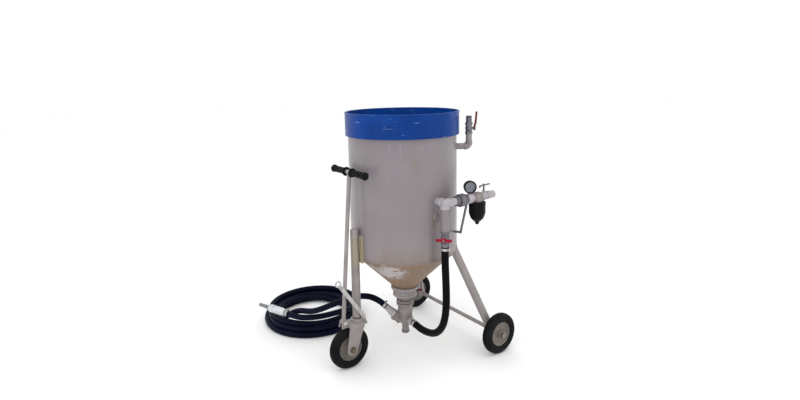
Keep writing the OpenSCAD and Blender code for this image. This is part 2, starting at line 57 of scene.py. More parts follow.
def low(node):
    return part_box(node)[0]


def high(node):
    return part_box(node)[1]


def middle(node):
    return (low(node) + high(node)) / 2


def pivot(joint):
    return Vector(joints[joint]["pos_m"])


def aim(point, axis=Z, side=X):
    """Matrix at point with its Z along axis and its X as near to side as it can be."""
    z = Vector(axis).normalized()
    if abs(z.dot(Vector(side).normalized())) > 0.99:
        side = Y if abs(z.y) < 0.9 else Z
    x = (Vector(side) - z * z.dot(Vector(side))).normalized()
    turned = Matrix((x, z.cross(x), z)).transposed().to_4x4()
    return Matrix.Translation(Vector(point)) @ turned


def shift(x, y=0, z=0):
    """A move by millimetres."""
    return Matrix.Translation((x * mm, y * mm, z * mm))


def spin(turns):
    """A rotation about Z."""
    return Matrix.Rotation(math.tau * turns, 4, "Z")


def around(place, count, radius, rise=0, start=0):
    """Places on a circle about the Z of place, with their X outwards; start is in steps."""
    return [place @ spin((k + start) / count) @ shift(radius, 0, rise) for k in range(count)]


tank_r = high("tank_shell").x
seam_z = low("tank_shell").z
collar_z = low("collar").z
outlet_z = low("tank_cone").z
outlet_r = 58 * mm
side_dir = Vector(joints["vent_valve_turn"]["axis"])
swivel = pivot("fork_swivel")
manifold = pivot("inlet_valve_turn")
manifold.y = 0
pipe_r = (high("down_pipe").x - low("down_pipe").x) / 2
vent_z = low("vent_pipe").z + 18 * mm
leg_head = (low("leg_pad").z, high("leg_pad").z)
fork_middle_y = -0.295
rear_leg_top = Vector((0.182, 0.158, 0.540))
rear_leg_foot_x = 0.282

# Radii in mm: passages of pipes and fittings, the pipes' outside and the wheels' rims
bore, pipe, rim_r = 12.6, 17, 59


# ---------------------------------------------------------------- mesh helpers

def merge(bm, own, place=Matrix()):
    """Adds the bmesh own to bm at place and frees it."""
    own.transform(place)
    mesh = bpy.data.meshes.new("part")
    own.to_mesh(mesh)
    own.free()
    bm.from_mesh(mesh)
    bpy.data.meshes.remove(mesh)


def soften(points, radius, steps=3, closed=True):
    """Rounds the corners of an outline with short curves."""
    points = [Vector(p) for p in points]
    out = []
    for i, p in enumerate(points):
        if not closed and i in (0, len(points) - 1):
            out.append(p)
            continue
        to_a, to_b = points[i - 1] - p, points[(i + 1) % len(points)] - p
        a = p + to_a.normalized() * min(radius, 0.45 * to_a.length)
        b = p + to_b.normalized() * min(radius, 0.45 * to_b.length)
        for k in range(steps + 1):
            t = k / steps
            out.append(a * (1 - t) ** 2 + p * 2 * t * (1 - t) + b * t * t)
    return out


def lathe(bm, profile, place=Matrix(), sides=48, ripple=None):
    """Turns a profile of (radius, height) pairs in mm about Z; it closes on the axis or on itself."""
    own = bmesh.new()
    axis = {i: own.verts.new((0, 0, z * mm)) for i, (r, z) in enumerate(profile) if r < 1e-6}
    verts = []
    for k in range(sides):
        a = math.tau * k / sides
        ring = []
        for i, (r, z) in enumerate(profile):
            wide = (r + (ripple(k, r, z) if ripple else 0)) * mm
            ring.append(axis.get(i) or own.verts.new((wide * math.cos(a), wide * math.sin(a), z * mm)))
        verts.append(ring)
    pairs = list(zip(range(len(profile) - 1), range(1, len(profile))))
    if not axis:
        pairs.append((len(profile) - 1, 0))
    for k in range(sides):
        here, there = verts[k], verts[(k + 1) % sides]
        for i, j in pairs:
            corners = []
            for v in (here[i], there[i], there[j], here[j]):
                if v not in corners:
                    corners.append(v)
            if len(corners) > 2:
                own.faces.new(corners)
    merge(bm, own, place)


def plate(bm, outline, thickness, place=Matrix(), holes=(), edge=0.6):
    """A flat plate from an outline and its holes, in mm, with softened edges."""
    own = bmesh.new()
    edges = []
    for loop in [outline, *holes]:
        verts = [own.verts.new((p[0] * mm, p[1] * mm, 0)) for p in loop]
        edges += [own.edges.new((verts[i - 1], verts[i])) for i in range(len(verts))]
    bmesh.ops.triangle_fill(own, use_beauty=True, edges=edges)
    made = bmesh.ops.extrude_face_region(own, geom=own.faces[:])
    top = [v for v in made["geom"] if isinstance(v, bmesh.types.BMVert)]
    bmesh.ops.translate(own, vec=(0, 0, thickness * mm), verts=top)
    bmesh.ops.recalc_face_normals(own, faces=own.faces[:])
    if edge:
        sharp = [e for e in own.edges if len(e.link_faces) == 2 and e.calc_face_angle(0) > 0.6]
        bmesh.ops.bevel(own, geom=sharp, offset=edge * mm, segments=2, profile=0.6, affect="EDGES",
                        clamp_overlap=True)
    merge(bm, own, place)


def block(bm, size, place=Matrix(), edge=1.0):
    """A box of a size in mm, centred on place, with softened edges."""
    x, y, z = (s / 2 for s in size)
    plate(bm, [(-x, -y), (x, -y), (x, y), (-x, y)], 2 * z, place @ shift(0, 0, -z),
          edge=edge)


def arc_points(radius, start, end, count):
    """Points on an arc about the origin between two bearings in degrees."""
    bearings = [math.radians(start + (end - start) * k / (count - 1)) for k in range(count)]
    return [(radius * math.cos(a), radius * math.sin(a)) for a in bearings]


def circle(radius, at=(0, 0), steps=24):
    return [(at[0] + radius * math.cos(math.tau * k / steps), at[1] + radius * math.sin(math.tau * k / steps))
            for k in range(steps)]


def polygon(flat, sides):
    """Outline of a nut with that distance from its middle to its flats."""
    return circle(flat / math.cos(math.pi / sides), steps=sides)


def slot_outline(length, width, steps=8):
    """Outline with round ends along X, from the middle of one end to the middle of the other."""
    ends = [(length, -math.pi / 2), (0, math.pi / 2)]
    return [(x + width / 2 * math.cos(a + math.pi * k / steps), width / 2 * math.sin(a + math.pi * k / steps))
            for x, a in ends for k in range(steps + 1)]


def tube(bm, points, radius, sides=16, closed=False):
    """A round tube along the points; radius is a number or one for each point, in metres."""
    own = bmesh.new()
    points = [Vector(p) for p in points]
    count = len(points)
    radii = radius if isinstance(radius, (list, tuple)) else [radius] * count
    rings = []
    across = None
    for i, p in enumerate(points):
        ahead = points[(i + 1) % count] if closed else points[min(i + 1, count - 1)]
        behind = points[i - 1] if closed else points[max(i - 1, 0)]
        along = (ahead - behind).normalized()
        if across is None:
            across = along.cross(Z if abs(along.z) < 0.9 else X).normalized()
        across = (across - along * along.dot(across)).normalized()
        up = along.cross(across)
        rings.append([own.verts.new(p + radii[i] * (across * math.cos(math.tau * k / sides)
                                                    + up * math.sin(math.tau * k / sides)))
                      for k in range(sides)])
    for i in range(count if closed else count - 1):
        a, b = rings[i], rings[(i + 1) % count]
        for k in range(sides):
            own.faces.new((a[k], a[(k + 1) % sides], b[(k + 1) % sides], b[k]))
    if not closed:
        own.faces.new(rings[0][::-1])
        own.faces.new(rings[-1])
    merge(bm, own)


def resample(points, step, closed=False):
    """The points of a line again, at even steps."""
    points = [Vector(p) for p in points]
    if closed:
        points.append(points[0])
    lengths = [0.0]
    for a, b in zip(points, points[1:]):
        lengths.append(lengths[-1] + (b - a).length)
    count = max(2, round(lengths[-1] / step))
    out = []
    i = 0
    for k in range(count if closed else count + 1):
        s = lengths[-1] * k / count
        while i < len(points) - 2 and lengths[i + 1] < s:
            i += 1
        t = (s - lengths[i]) / max(lengths[i + 1] - lengths[i], 1e-9)
        out.append(points[i].lerp(points[i + 1], t))
    return out


def weld(bm, points, radius=3.0, closed=True):
    """A weld bead with the ripples of its passes."""
    path = resample(points, 2.5 * mm, closed)
    radii = [radius * mm * (1 + 0.13 * math.sin(i * 1.9) + 0.22 * noise.noise(p * 90))
             for i, p in enumerate(path)]
    tube(bm, path, radii, sides=8, closed=closed)


def ring_points(place, radius, count=64):
    """Points in metres on a circle of that radius in mm about the Z of place."""
    return [place @ Vector((radius * mm * math.cos(math.tau * k / count),
                            radius * mm * math.sin(math.tau * k / count), 0)) for k in range(count)]


def tank_radius(z):
    """Outer radius of the tank at a height: the shell, and the cone under it."""
    if z >= seam_z:
        return tank_r
    return outlet_r + (tank_r - outlet_r) * (z - outlet_z) / (seam_z - outlet_z)


def tank_meets(start, end, radius, count=72):
    """Points where a round bar from start towards end enters the tank's surface."""
    place = aim(start, end - start)
    out = []
    for p in ring_points(place, radius, count):
        a, b = 0.0, 1.0
        for _ in range(30):
            t = (a + b) / 2
            q = p + (end - start) * t
            if math.hypot(q.x, q.y) > tank_radius(q.z):
                a = t
            else:
                b = t
        out.append(p + (end - start) * a)
    return out


def piece(name, bm, look, body, replaced=(), angle=38):
    """Makes a piece from a bmesh. It rides on a body, has a slot and stands for CAD nodes."""
    bmesh.ops.recalc_face_normals(bm, faces=bm.faces[:])
    mesh = bpy.data.meshes.new(name)
    bm.to_mesh(mesh)
    bm.free()
    mesh.materials.append(looks[look])
    mesh.shade_smooth()
    mesh.set_sharp_from_angle(angle=math.radians(angle))
    obj = bpy.data.objects.new(name, mesh)
    bpy.context.scene.collection.objects.link(obj)
    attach(obj, body)
    if replaced:
        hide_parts(*replaced)
    return obj


def nut(bm, place, flat, height, sides=6, edge=0.7):
    """A nut or bolt head with softened edges, its foot on place."""
    plate(bm, polygon(flat, sides), height, place, edge=edge)


def bolt(bm, place, flat, height, stud=2.0):
    """A washer, a hexagonal head and the stud's end, rising along Z from place."""
    lathe(bm, [(0, 0), (flat * 1.35, 0), (flat * 1.35, 1.2), (flat * 1.2, 1.6), (0, 1.6)], place, 24)
    nut(bm, place @ shift(0, 0, 1.6), flat, height)
    if stud:
        top = height + 1.6
        r = 0.5 * flat
        lathe(bm, [(0, top - 1), (r, top - 1), (r, top + stud - 0.6), (r - 0.6, top + stud), (0, top + stud)],
              place, 16)


def clamp(bm, place, radius, turn=0.0):
    """A worm-drive hose clamp about the Z of place, its screw at bearing turn."""
    band = [(radius, -6), (radius + 0.9, -6), (radius + 0.9, 6), (radius, 6)]
    lathe(bm, soften(band, 0.3, 1), place, 48)
    turned = place @ Matrix.Rotation(turn, 4, "Z")
    house = turned @ shift(radius + 3.4)
    block(bm, (6.4, 15, 10.5), house, edge=1.8)
    screw = aim(house @ Vector((0, -14 * mm, 0)), house.to_3x3() @ Y)
    lathe(bm, soften([(0, 0), (3.6, 0), (3.6, 5.5), (2.4, 6), (2.4, 24), (0, 24)], 0.4, 1, False), screw, 16)
    for k in range(7):
        tooth = turned @ Matrix.Rotation(-0.35 - 0.075 * k, 4, "Z") @ shift(radius + 1)
        block(bm, (0.8, 0.8, 7), tooth, edge=0.2)


# ---------------------------------------------------------------- materials

def rgb(code):
    """A colour's linear values from its six-digit code."""
    parts = [int(code[i:i + 2], 16) / 255 for i in (0, 2, 4)]
    return (*[c / 12.92 if c <= 0.04045 else ((c + 0.055) / 1.055) ** 2.4 for c in parts], 1.0)


class Look:
    """One material's nodes, all of them in the piece's own coordinates."""

    def __init__(self, name, metallic=0.0, **constants):
        self.material = bpy.data.materials.new(name)
        self.material.use_nodes = True
        self.tree = self.material.node_tree
        self.shader = self.tree.nodes["Principled BSDF"]
        self.shader.inputs["Metallic"].default_value = metallic
        for socket, value in constants.items():
            self.shader.inputs[socket.replace("_", " ")].default_value = value
        self.place = self.node("ShaderNodeTexCoord").outputs["Object"]

    def node(self, kind, inputs=None, **settings):
        """A node with its settings; inputs gives its sockets their links or constants."""
        made = self.tree.nodes.new(kind)
        for key, value in settings.items():
            setattr(made, key, value)
        for socket, value in (inputs or {}).items():
            self.feed(made.inputs[socket], value)
        return made

    def feed(self, socket, value):
        """Links a node's output to a socket, or sets the socket to a constant."""
        if isinstance(value, bpy.types.NodeSocket):
            self.tree.links.new(value, socket)
        else:
            socket.default_value = value

    def stretched(self, scale):
        return self.node("ShaderNodeMapping", {"Vector": self.place, "Scale": scale}).outputs["Vector"]

    def noise(self, scale, detail=3.0, stretch=None, rough=0.55, warp=0.0):
        place = self.stretched(stretch) if stretch else self.place
        return self.node("ShaderNodeTexNoise", {"Vector": place, "Scale": scale, "Detail": detail,
                                                "Roughness": rough, "Distortion": warp}).outputs["Fac"]

    def cells(self, scale):
        return self.node("ShaderNodeTexVoronoi", {"Vector": self.place, "Scale": scale}).outputs["Distance"]

    def axis(self, name):
        return self.node("ShaderNodeSeparateXYZ", {"Vector": self.place}).outputs[name]

    def near(self, point, reach, stretch=(1, 1, 1)):
        """1 at a point of the piece, falling to 0 at reach metres from it."""
        origin = [-p * s for p, s in zip(point, stretch)]
        made = self.node("ShaderNodeMapping", {"Vector": self.place, "Scale": stretch, "Location": origin})
        away = self.node("ShaderNodeVectorMath", {0: made.outputs["Vector"]}, operation="LENGTH")
        return self.span(away.outputs["Value"], 0, reach, 1, 0)

    def facing_up(self):
        """How far the surface faces upwards, for dust that settles and for painted sheen on upper faces."""
        normal = self.node("ShaderNodeNewGeometry").outputs["Normal"]
        return self.span(self.node("ShaderNodeSeparateXYZ", {"Vector": normal}).outputs["Z"], 0.3, 1.0)

    def span(self, value, low_in, high_in, low_out=0.0, high_out=1.0):
        """Maps the range between two values smoothly to another."""
        made = self.node("ShaderNodeMapRange", {"Value": value, "From Min": low_in, "From Max": high_in,
                                                "To Min": low_out, "To Max": high_out},
                         interpolation_type="SMOOTHSTEP")
        return made.outputs["Result"]

    def maths(self, operation, a, b):
        return self.node("ShaderNodeMath", {0: a, 1: b}, operation=operation).outputs["Value"]

    def mix(self, factor, a, b):
        """Colour a where factor is 0, b where it is 1."""
        made = self.node("ShaderNodeMix", {"Factor": factor, "A": a, "B": b}, data_type="RGBA")
        return made.outputs["Result"]

    def over(self, tone, code, value, start, end, strength=1.0):
        """Lays a colour over tone where value rises from start to end."""
        return self.mix(self.span(value, start, end, 0, strength), tone, rgb(code))

    def done(self, colour, rough, height=None, depth=0.5):
        """Feeds the shader; height is in units of depth mm."""
        self.feed(self.shader.inputs["Base Color"], colour)
        self.feed(self.shader.inputs["Roughness"], rough)
        if height is not None:
            bump = self.node("ShaderNodeBump", {"Strength": 1.0, "Distance": depth * mm, "Height": height})
            self.feed(self.shader.inputs["Normal"], bump.outputs["Normal"])
        return self.material


def times(code, factor):
    """A colour's linear values, scaled by a factor."""
    return (*[c * factor for c in rgb(code)[:3]], 1.0)


def enamel(name, code, dirt="6d5c4c", worn=0.5, gloss=0.32):
    """Sprayed enamel with orange peel, dust, thin runs and small chips."""
    look = Look(name, Coat_Weight=0.15, Coat_Roughness=0.2)
    blotch = look.noise(9, 5)
    tone = look.mix(look.span(blotch, 0.35, 0.7), times(code, 1.05), times(code, 0.86))
    soiled = look.span(look.noise(1, 4, stretch=(60, 60, 6)), 0.48, 0.75)
    tone = look.mix(look.maths("MULTIPLY", soiled, 0.45 * worn), tone, rgb(dirt))
    dust = look.maths("MULTIPLY", look.facing_up(), look.span(look.noise(30, 4), 0.35, 0.7, 0, 0.5 * worn))
    tone = look.mix(dust, tone, rgb("8f8474"))
    chips = look.span(look.noise(120, 2, rough=0.4), 0.73, 0.76, 0, worn)
    tone = look.mix(chips, tone, rgb("4a3f38"))
    peel = look.maths("SUBTRACT", look.noise(260, 2), chips)
    return look.done(tone, look.span(blotch, 0.3, 0.7, gloss, gloss + 0.2), peel, 0.12)


def tank_enamel():
    """Grey-white tank paint: soft patches, thin streaks, rust runs and a brown lower edge."""
    look = Look("tank_enamel", Coat_Weight=0.15, Coat_Roughness=0.18)
    patches = look.noise(3.2, 4, warp=0.6)
    tone = look.mix(look.span(patches, 0.35, 0.68), rgb("807a7e"), rgb("797276"))
    tone = look.over(tone, "7c7273", look.noise(1, 5, stretch=(34, 34, 2.2)), 0.5, 0.78, 0.25)
    tone = look.over(tone, "98929a", look.noise(1, 3, stretch=(60, 60, 3), rough=0.7), 0.6, 0.75, 0.3)
    height = look.axis("Z")
    tone = look.mix(look.span(height, seam_z, seam_z + 0.33, 0.3, 0), tone, rgb("83746f"))
    waver = look.maths("MULTIPLY", look.noise(1, 3, stretch=(14, 14, 4)), 0.16)
    ragged = look.maths("SUBTRACT", height, waver)
    tone = look.mix(look.span(ragged, seam_z - 0.10, seam_z - 0.01, 0.5, 0), tone, rgb("786556"))
    for x, y, z, reach, strength in STAINS:
        stain = look.near((x, y, z), reach, (1, 1, 0.5))
        blots = look.span(look.noise(60, 4), 0.3, 0.6, 0.3 * strength, strength)
        tone = look.mix(look.maths("MULTIPLY", stain, blots), tone, rgb("75624c"))
    tone = look.over(tone, "d8d3d6", look.noise(1, 2, stretch=(120, 120, 40), rough=0.7), 0.74, 0.78, 0.4)
    tone = look.over(tone, "5a4a40", look.noise(150, 2, rough=0.4), 0.77, 0.80)
    wave = look.maths("ADD", look.noise(6, 2), look.maths("MULTIPLY", look.noise(220, 2), 0.12))
    return look.done(tone, look.span(patches, 0.3, 0.7, 0.26, 0.42), wave, 1.1)


def leg_enamel():
    """Grey enamel of the legs and the fork; the front leg's head is bare and yellowed, with painted shade of
    a hole on its crown.
    """
    look = Look("leg_enamel", Coat_Weight=0.1, Coat_Roughness=0.25)
    blotch = look.noise(9, 5)
    tone = look.mix(look.span(blotch, 0.35, 0.7), rgb("918a89"), rgb("7e7776"))
    height = look.maths("ADD", look.axis("Z"), look.maths("MULTIPLY", look.noise(30, 3), 0.02))
    low_edge = look.span(height, leg_head[0] - 8 * mm, leg_head[0] + 6 * mm)
    high_edge = look.span(height, leg_head[1] - 4 * mm, leg_head[1] + 4 * mm, 1, 0)
    ahead = look.maths("MULTIPLY", look.span(look.axis("Y"), swivel.y - 26 * mm, swivel.y - 22 * mm),
                       look.span(look.axis("Y"), swivel.y + 33 * mm, swivel.y + 43 * mm, 1, 0))
    here = look.maths("MULTIPLY", ahead, look.maths("MULTIPLY", low_edge, high_edge))
    tone = look.mix(look.maths("MULTIPLY", here, 0.85), tone, rgb("8d836c"))
    # Painted shade: a dark spot on the front leg's crown stands in for the shade in a hole there.
    crown = look.near((0, swivel.y, leg_head[1] + 22 * mm), 12 * mm)
    tone = look.mix(look.maths("MULTIPLY", crown, 0.8), tone, rgb("4c4a52"))
    tone = look.over(tone, "6c6259", look.noise(1, 4, stretch=(60, 60, 6)), 0.48, 0.75, 0.3)
    chips = look.span(look.noise(120, 2, rough=0.4), 0.74, 0.77, 0, 0.7)
    tone = look.mix(chips, tone, rgb("4a3f38"))
    peel = look.maths("SUBTRACT", look.noise(260, 2), chips)
    return look.done(tone, look.span(blotch, 0.3, 0.7, 0.34, 0.52), peel, 0.12)


def cone_enamel():
    """The cone: paint stained by sand and rust, with pale patches and runs."""
    look = Look("cone_enamel", Coat_Weight=0.1, Coat_Roughness=0.3)
    stains = look.noise(9, 6, warp=1.2)
    tone = look.mix(look.span(stains, 0.38, 0.64), rgb("75614f"), rgb("877059"))
    tone = look.over(tone, "80593c", look.noise(1, 5, stretch=(40, 40, 9)), 0.5, 0.66, 0.75)
    pale = look.near((0.105, -0.19, 0.455), 0.11, (0.8, 0.8, 1.3))
    pale = look.maths("MULTIPLY", pale, look.span(look.noise(22, 5, warp=1.5), 0.38, 0.55))
    tone = look.mix(look.maths("MINIMUM", look.maths("MULTIPLY", pale, 2.4), 0.9), tone, rgb("b3adaf"))
    tone = look.over(tone, "a89b90", look.noise(1, 5, stretch=(50, 50, 16), rough=0.7), 0.6, 0.7, 0.6)
    return look.done(tone, look.span(stains, 0.3, 0.7, 0.45, 0.75), look.noise(240, 3), 0.25)


def collar_enamel():
    """Blue paint with soft reflections, pale scratches carrying painted highlights, and dusty runs."""
    look = Look("collar_enamel", Coat_Weight=0.03, Coat_Roughness=0.2, Specular_IOR_Level=0.12)
    patches = look.noise(5, 4)
    tone = look.mix(look.span(patches, 0.35, 0.7), rgb("003a88"), rgb("003074"))
    tone = look.over(tone, "05439a", look.noise(1, 4, stretch=(30, 30, 5)), 0.52, 0.8, 0.35)
    # Pale blue-white lines round the collar: scratches, with painted highlights along them.
    tone = look.over(tone, "9db8dc", look.noise(1, 2, stretch=(14, 14, 260), rough=0.4), 0.72, 0.75, 0.4)
    tone = look.over(tone, "9aa6b4", look.noise(110, 2, rough=0.4), 0.77, 0.80)
    wave = look.maths("ADD", look.noise(7, 2), look.maths("MULTIPLY", look.noise(240, 2), 0.08))
    return look.done(tone, look.span(patches, 0.3, 0.7, 0.22, 0.36), wave, 1.6)


def metal(name, code, rough=0.35, stain="4d4640", stained=0.3, grain=200, depth=0.1, metallic=0.9):
    """Bare metal with a fine grain, dull patches and a little dirt."""
    look = Look(name, metallic)
    dull = look.noise(22, 5)
    tone = look.mix(look.span(dull, 0.35, 0.7), times(code, 1.08), times(code, 0.8))
    tone = look.over(tone, stain, look.noise(55, 5, rough=0.7), 0.55, 0.75, stained)
    return look.done(tone, look.span(dull, 0.3, 0.7, rough, rough + 0.22), look.noise(grain, 3), depth)


def rubber(name, code, dust_code="6a645e", dust=0.3, rough=0.6, grain=300, depth=0.15):
    """Rubber or plastic with a fine grain and dust in patches."""
    look = Look(name, Specular_IOR_Level=0.12)
    patches = look.noise(14, 5)
    tone = look.mix(look.span(patches, 0.35, 0.7), times(code, 1.25), times(code, 0.8))
    dusty = look.span(look.noise(38, 5, rough=0.65), 0.5, 0.78, 0, dust)
    dust_and_sheen = look.maths("ADD", dusty, look.maths("MULTIPLY", look.facing_up(), 0.35 * dust))
    tone = look.mix(dust_and_sheen, tone, rgb(dust_code))
    shine = look.span(patches, 0.3, 0.7, rough - 0.1, rough + 0.15)
    return look.done(tone, shine, look.noise(grain, 3), depth)


def hose_rubber(name, code, dust):
    """Hose cover: cloth-wrapped rubber, its fine wrap marks and scuffs, and a painted bluish sheen on the
    faces that look upwards.
    """
    look = Look(name, Specular_IOR_Level=0.06)
    patches = look.noise(7, 5)
    tone = look.mix(look.span(patches, 0.35, 0.7), times(code, 1.2), times(code, 0.75))
    tone = look.over(tone, "272c3c", look.noise(70, 5, rough=0.7), 0.55, 0.75, dust)
    # Painted sheen: the faces that look upwards are lightened to a dark blue in patches; the dust argument
    # sets its strength.
    dust_and_sheen = look.maths("MULTIPLY", look.facing_up(), look.span(look.noise(18, 4), 0.4, 0.7, 0, dust))
    tone = look.mix(dust_and_sheen, tone, rgb("2e3650"))
    wrap = look.maths("ADD", look.noise(420, 2), look.maths("MULTIPLY", look.cells(160), 0.6))
    return look.done(tone, look.span(patches, 0.3, 0.7, 0.38, 0.6), wrap, 0.2)


def glass():
    """The gauge's lens, with faint smears."""
    look = Look("gauge_lens", Transmission_Weight=0.96, IOR=1.45, Alpha=1.0)
    smears = look.noise(60, 4)
    return look.done(rgb("f2f5f7"), look.span(smears, 0.4, 0.8, 0.03, 0.14))


# Rust stains on the tank: place, reach and strength
STAINS = [(0.258, -0.018, 0.704, 0.022, 0.8), (0.238, -0.105, 0.985, 0.040, 0.35)]

looks = {
    "tank": tank_enamel(),
    "cone": cone_enamel(),
    "blue": collar_enamel(),
    "white": enamel("white_enamel", "8f8788"),
    "pipe_white": enamel("pipe_enamel", "a39ea3", worn=0.3),
    "leg_white": leg_enamel(),
    "pad": enamel("pad_enamel", "968b70", dirt="6f6145", worn=0.8, gloss=0.5),
    "rim": enamel("rim_enamel", "6a645e", dirt="55504a", worn=0.9, gloss=0.42),
    "red": rubber("red_dip", "8e0f2a", "5a2a2e", dust=0.12, rough=0.38, grain=90, depth=0.1),
    "dark_red": rubber("dark_red_dip", "5e0d1b", "4a2a2c", dust=0.15, rough=0.42, grain=90, depth=0.1),
    "zinc": metal("zinc_plate", "b9b8b6"),
    "dull_zinc": metal("dull_zinc", "74727a", rough=0.45, stained=0.5, metallic=0.6),
    "iron": metal("grey_iron", "716e73", rough=0.5, stained=0.5, grain=130, depth=0.4, metallic=0.75),
    "brass": metal("chromed_brass", "c8c6c2", rough=0.15, stained=0.1, depth=0.02, metallic=1.0),
    "bronze": metal("oiled_bronze", "7d7263", rough=0.35, stain="4a3520", stained=0.5),
    "cast": metal("cast_alloy", "8a8382", rough=0.5, stained=0.35, grain=110, depth=0.45, metallic=0.35),
    "bright": metal("bright_alloy", "cfd2d6", rough=0.28, stained=0.2, grain=160, depth=0.12),
    "nozzle": metal("nozzle_steel", "8b8d90", rough=0.4, stained=0.5, grain=140, depth=0.2),
    "tyre": rubber("tyre_rubber", "09090c", "3f3b37", dust=0.22, rough=0.62, depth=0.25),
    "grip": rubber("grip_rubber", "0b0b0d", "34312f", dust=0.12, rough=0.55),
    "seal": rubber("seal_rubber", "2b2928", "6a6158", dust=0.4, rough=0.7),
    "black": rubber("black_plastic", "060507", "2c2826", dust=0.1, rough=0.3, grain=60, depth=0.06),
    "air_hose": hose_rubber("air_hose_rubber", "08070a", 0.08),
    "blast_hose": hose_rubber("blast_hose_rubber", "070b1e", 0.08),
    "dial": enamel("dial_face", "7d879c", dirt="4a5264", worn=0.2, gloss=0.5),
    "ink": rubber("dial_ink", "15151a", "30303a", dust=0.1, rough=0.6, depth=0.02),
    "needle": enamel("needle_paint", "8e1420", worn=0.2),
    "glass": glass(),
}


# ---------------------------------------------------------------- camera, floor and light

def make_camera():
    """The camera, where it stands in front of the machine and to its right."""
    data = bpy.data.cameras.new("camera")
    data.lens = 23.55
    data.shift_x, data.shift_y = -0.0029, -0.0576
    camera = bpy.data.objects.new("camera", data)
    bpy.context.scene.collection.objects.link(camera)
    pitch, roll = math.radians(8.5), math.radians(-1.0)
    heading = Vector((-0.811, 0.585, 0)).normalized()
    look = heading * math.cos(pitch) - Z * math.sin(pitch)
    turned = look.to_track_quat("-Z", "Y").to_matrix().to_4x4() @ Matrix.Rotation(roll, 4, "Z")
    camera.matrix_world = Matrix.Translation((2.030, -1.466, 1.363)) @ turned
    bpy.context.scene.camera = camera


def make_stage():
    """A plain pale floor."""
    bm = bmesh.new()
    bmesh.ops.create_grid(bm, x_segments=2, y_segments=2, size=30)
    mesh = bpy.data.meshes.new("floor")
    bm.to_mesh(mesh)
    bm.free()
    look = Look("floor_paint")
    tone = look.mix(look.noise(0.7, 3), (0.93, 0.93, 0.93, 1), (0.95, 0.95, 0.95, 1))
    mesh.materials.append(look.done(tone, look.span(look.noise(3, 3), 0.3, 0.7, 0.85, 0.95)))
    floor = bpy.data.objects.new("floor", mesh)
    bpy.context.scene.collection.objects.link(floor)


def add_light(name, at, size, power):
    """A soft area light that faces the tank."""
    toward = Vector((0, 0, 0.6))
    data = bpy.data.lights.new(name, "AREA")
    data.size = size
    data.energy = power
    light = bpy.data.objects.new(name, data)
    light.matrix_world = aim(at, Vector(at) - toward, X + Y)
    bpy.context.scene.collection.objects.link(light)


def make_light():
    """Three soft lights and a white surround."""
    add_light("overhead", (0.6, -0.6, 3.4), 3.0, 20)
    add_light("window", (1.2, -3.4, 2.2), 2.6, 18)
    add_light("side", (3.4, 1.4, 2.0), 2.2, 12)
    world = bpy.data.worlds.new("studio")
    world.use_nodes = True
    surround = world.node_tree.nodes["Background"].inputs
    surround["Color"].default_value = (1, 1, 1, 1)
    surround["Strength"].default_value = 1.06
    bpy.context.scene.world = world
    bpy.context.scene.view_settings.view_transform = "Standard"


# ---------------------------------------------------------------- hoses

AIR_ROUTE = [
    (0.312, 0, 0.604), (0.312, 0, 0.535), (0.315, 0, 0.465), (0.318, 0, 0.400), (0.318, 0, 0.340),
    (0.312, 0, 0.285), (0.298, 0, 0.235), (0.275, 0, 0.196), (0.245, 0, 0.168), (0.210, 0, 0.151),
    (0.170, 0, 0.142), (0.130, 0, 0.140), (0.095, 0, 0.144), (0.066, 0, 0.148),
]
LEAD_ROUTE = [
    (-0.058, -0.080, 0.213), (-0.074, -0.102, 0.238), (-0.092, -0.127, 0.258), (-0.113, -0.155, 0.268),
    (-0.138, -0.187, 0.267), (-0.167, -0.221, 0.256), (-0.200, -0.254, 0.238), (-0.238, -0.284, 0.214),
    (-0.282, -0.311, 0.187), (-0.328, -0.335, 0.162), (-0.376, -0.355, 0.145), (-0.424, -0.372, 0.138),
    (-0.468, -0.388, 0.122), (-0.510, -0.404, 0.094), (-0.548, -0.422, 0.062),
]
END_ROUTE = [
    (-0.400, -0.060, 0.072), (-0.372, -0.105, 0.090), (-0.350, -0.160, 0.105), (-0.338, -0.220, 0.112),
    (-0.345, -0.285, 0.112), (-0.368, -0.345, 0.112), (-0.408, -0.395, 0.112), (-0.458, -0.421, 0.116),
    (-0.503, -0.443, 0.119),
]
# Turns of the coil so far, with the radius and height there; it winds clockwise from coil_start
COIL_LAYS = [
    (0, 0.201, 0.062), (0.25, 0.199, 0.040), (0.5, 0.197, 0.016), (1.0, 0.197, 0.015),
    (1.5, 0.227, 0.015), (2.0, 0.227, 0.015), (2.5, 0.257, 0.015), (3.0, 0.257, 0.015),
    (3.25, 0.263, 0.037), (3.5, 0.242, 0.042), (4.0, 0.242, 0.041), (4.5, 0.212, 0.041),
    (4.75, 0.215, 0.055), (5.0, 0.231, 0.069), (5.25, 0.245, 0.067), (5.669, 0.252, 0.072),
]
coil_middle = Vector((-0.590, -0.225, 0))
coil_start = math.radians(-78)
air_hose_d, blast_hose_d = 0.034, 0.030
air_clamp_r, blast_clamp_r = 17.1, 15.2


def spline(points, steps=4):
    """A smooth line through the points."""
    points = [Vector(p) for p in points]
    ends = [2 * points[0] - points[1], *points, 2 * points[-1] - points[-2]]
    out = []
    for a, b, c, d in zip(ends, ends[1:], ends[2:], ends[3:]):
        for k in range(steps):
            t = k / steps
            out.append(0.5 * (2 * b + (c - a) * t + (2 * a - 5 * b + 4 * c - d) * t * t
                              + (3 * b - a - 3 * c + d) * t ** 3))
    return [*out, points[-1]]


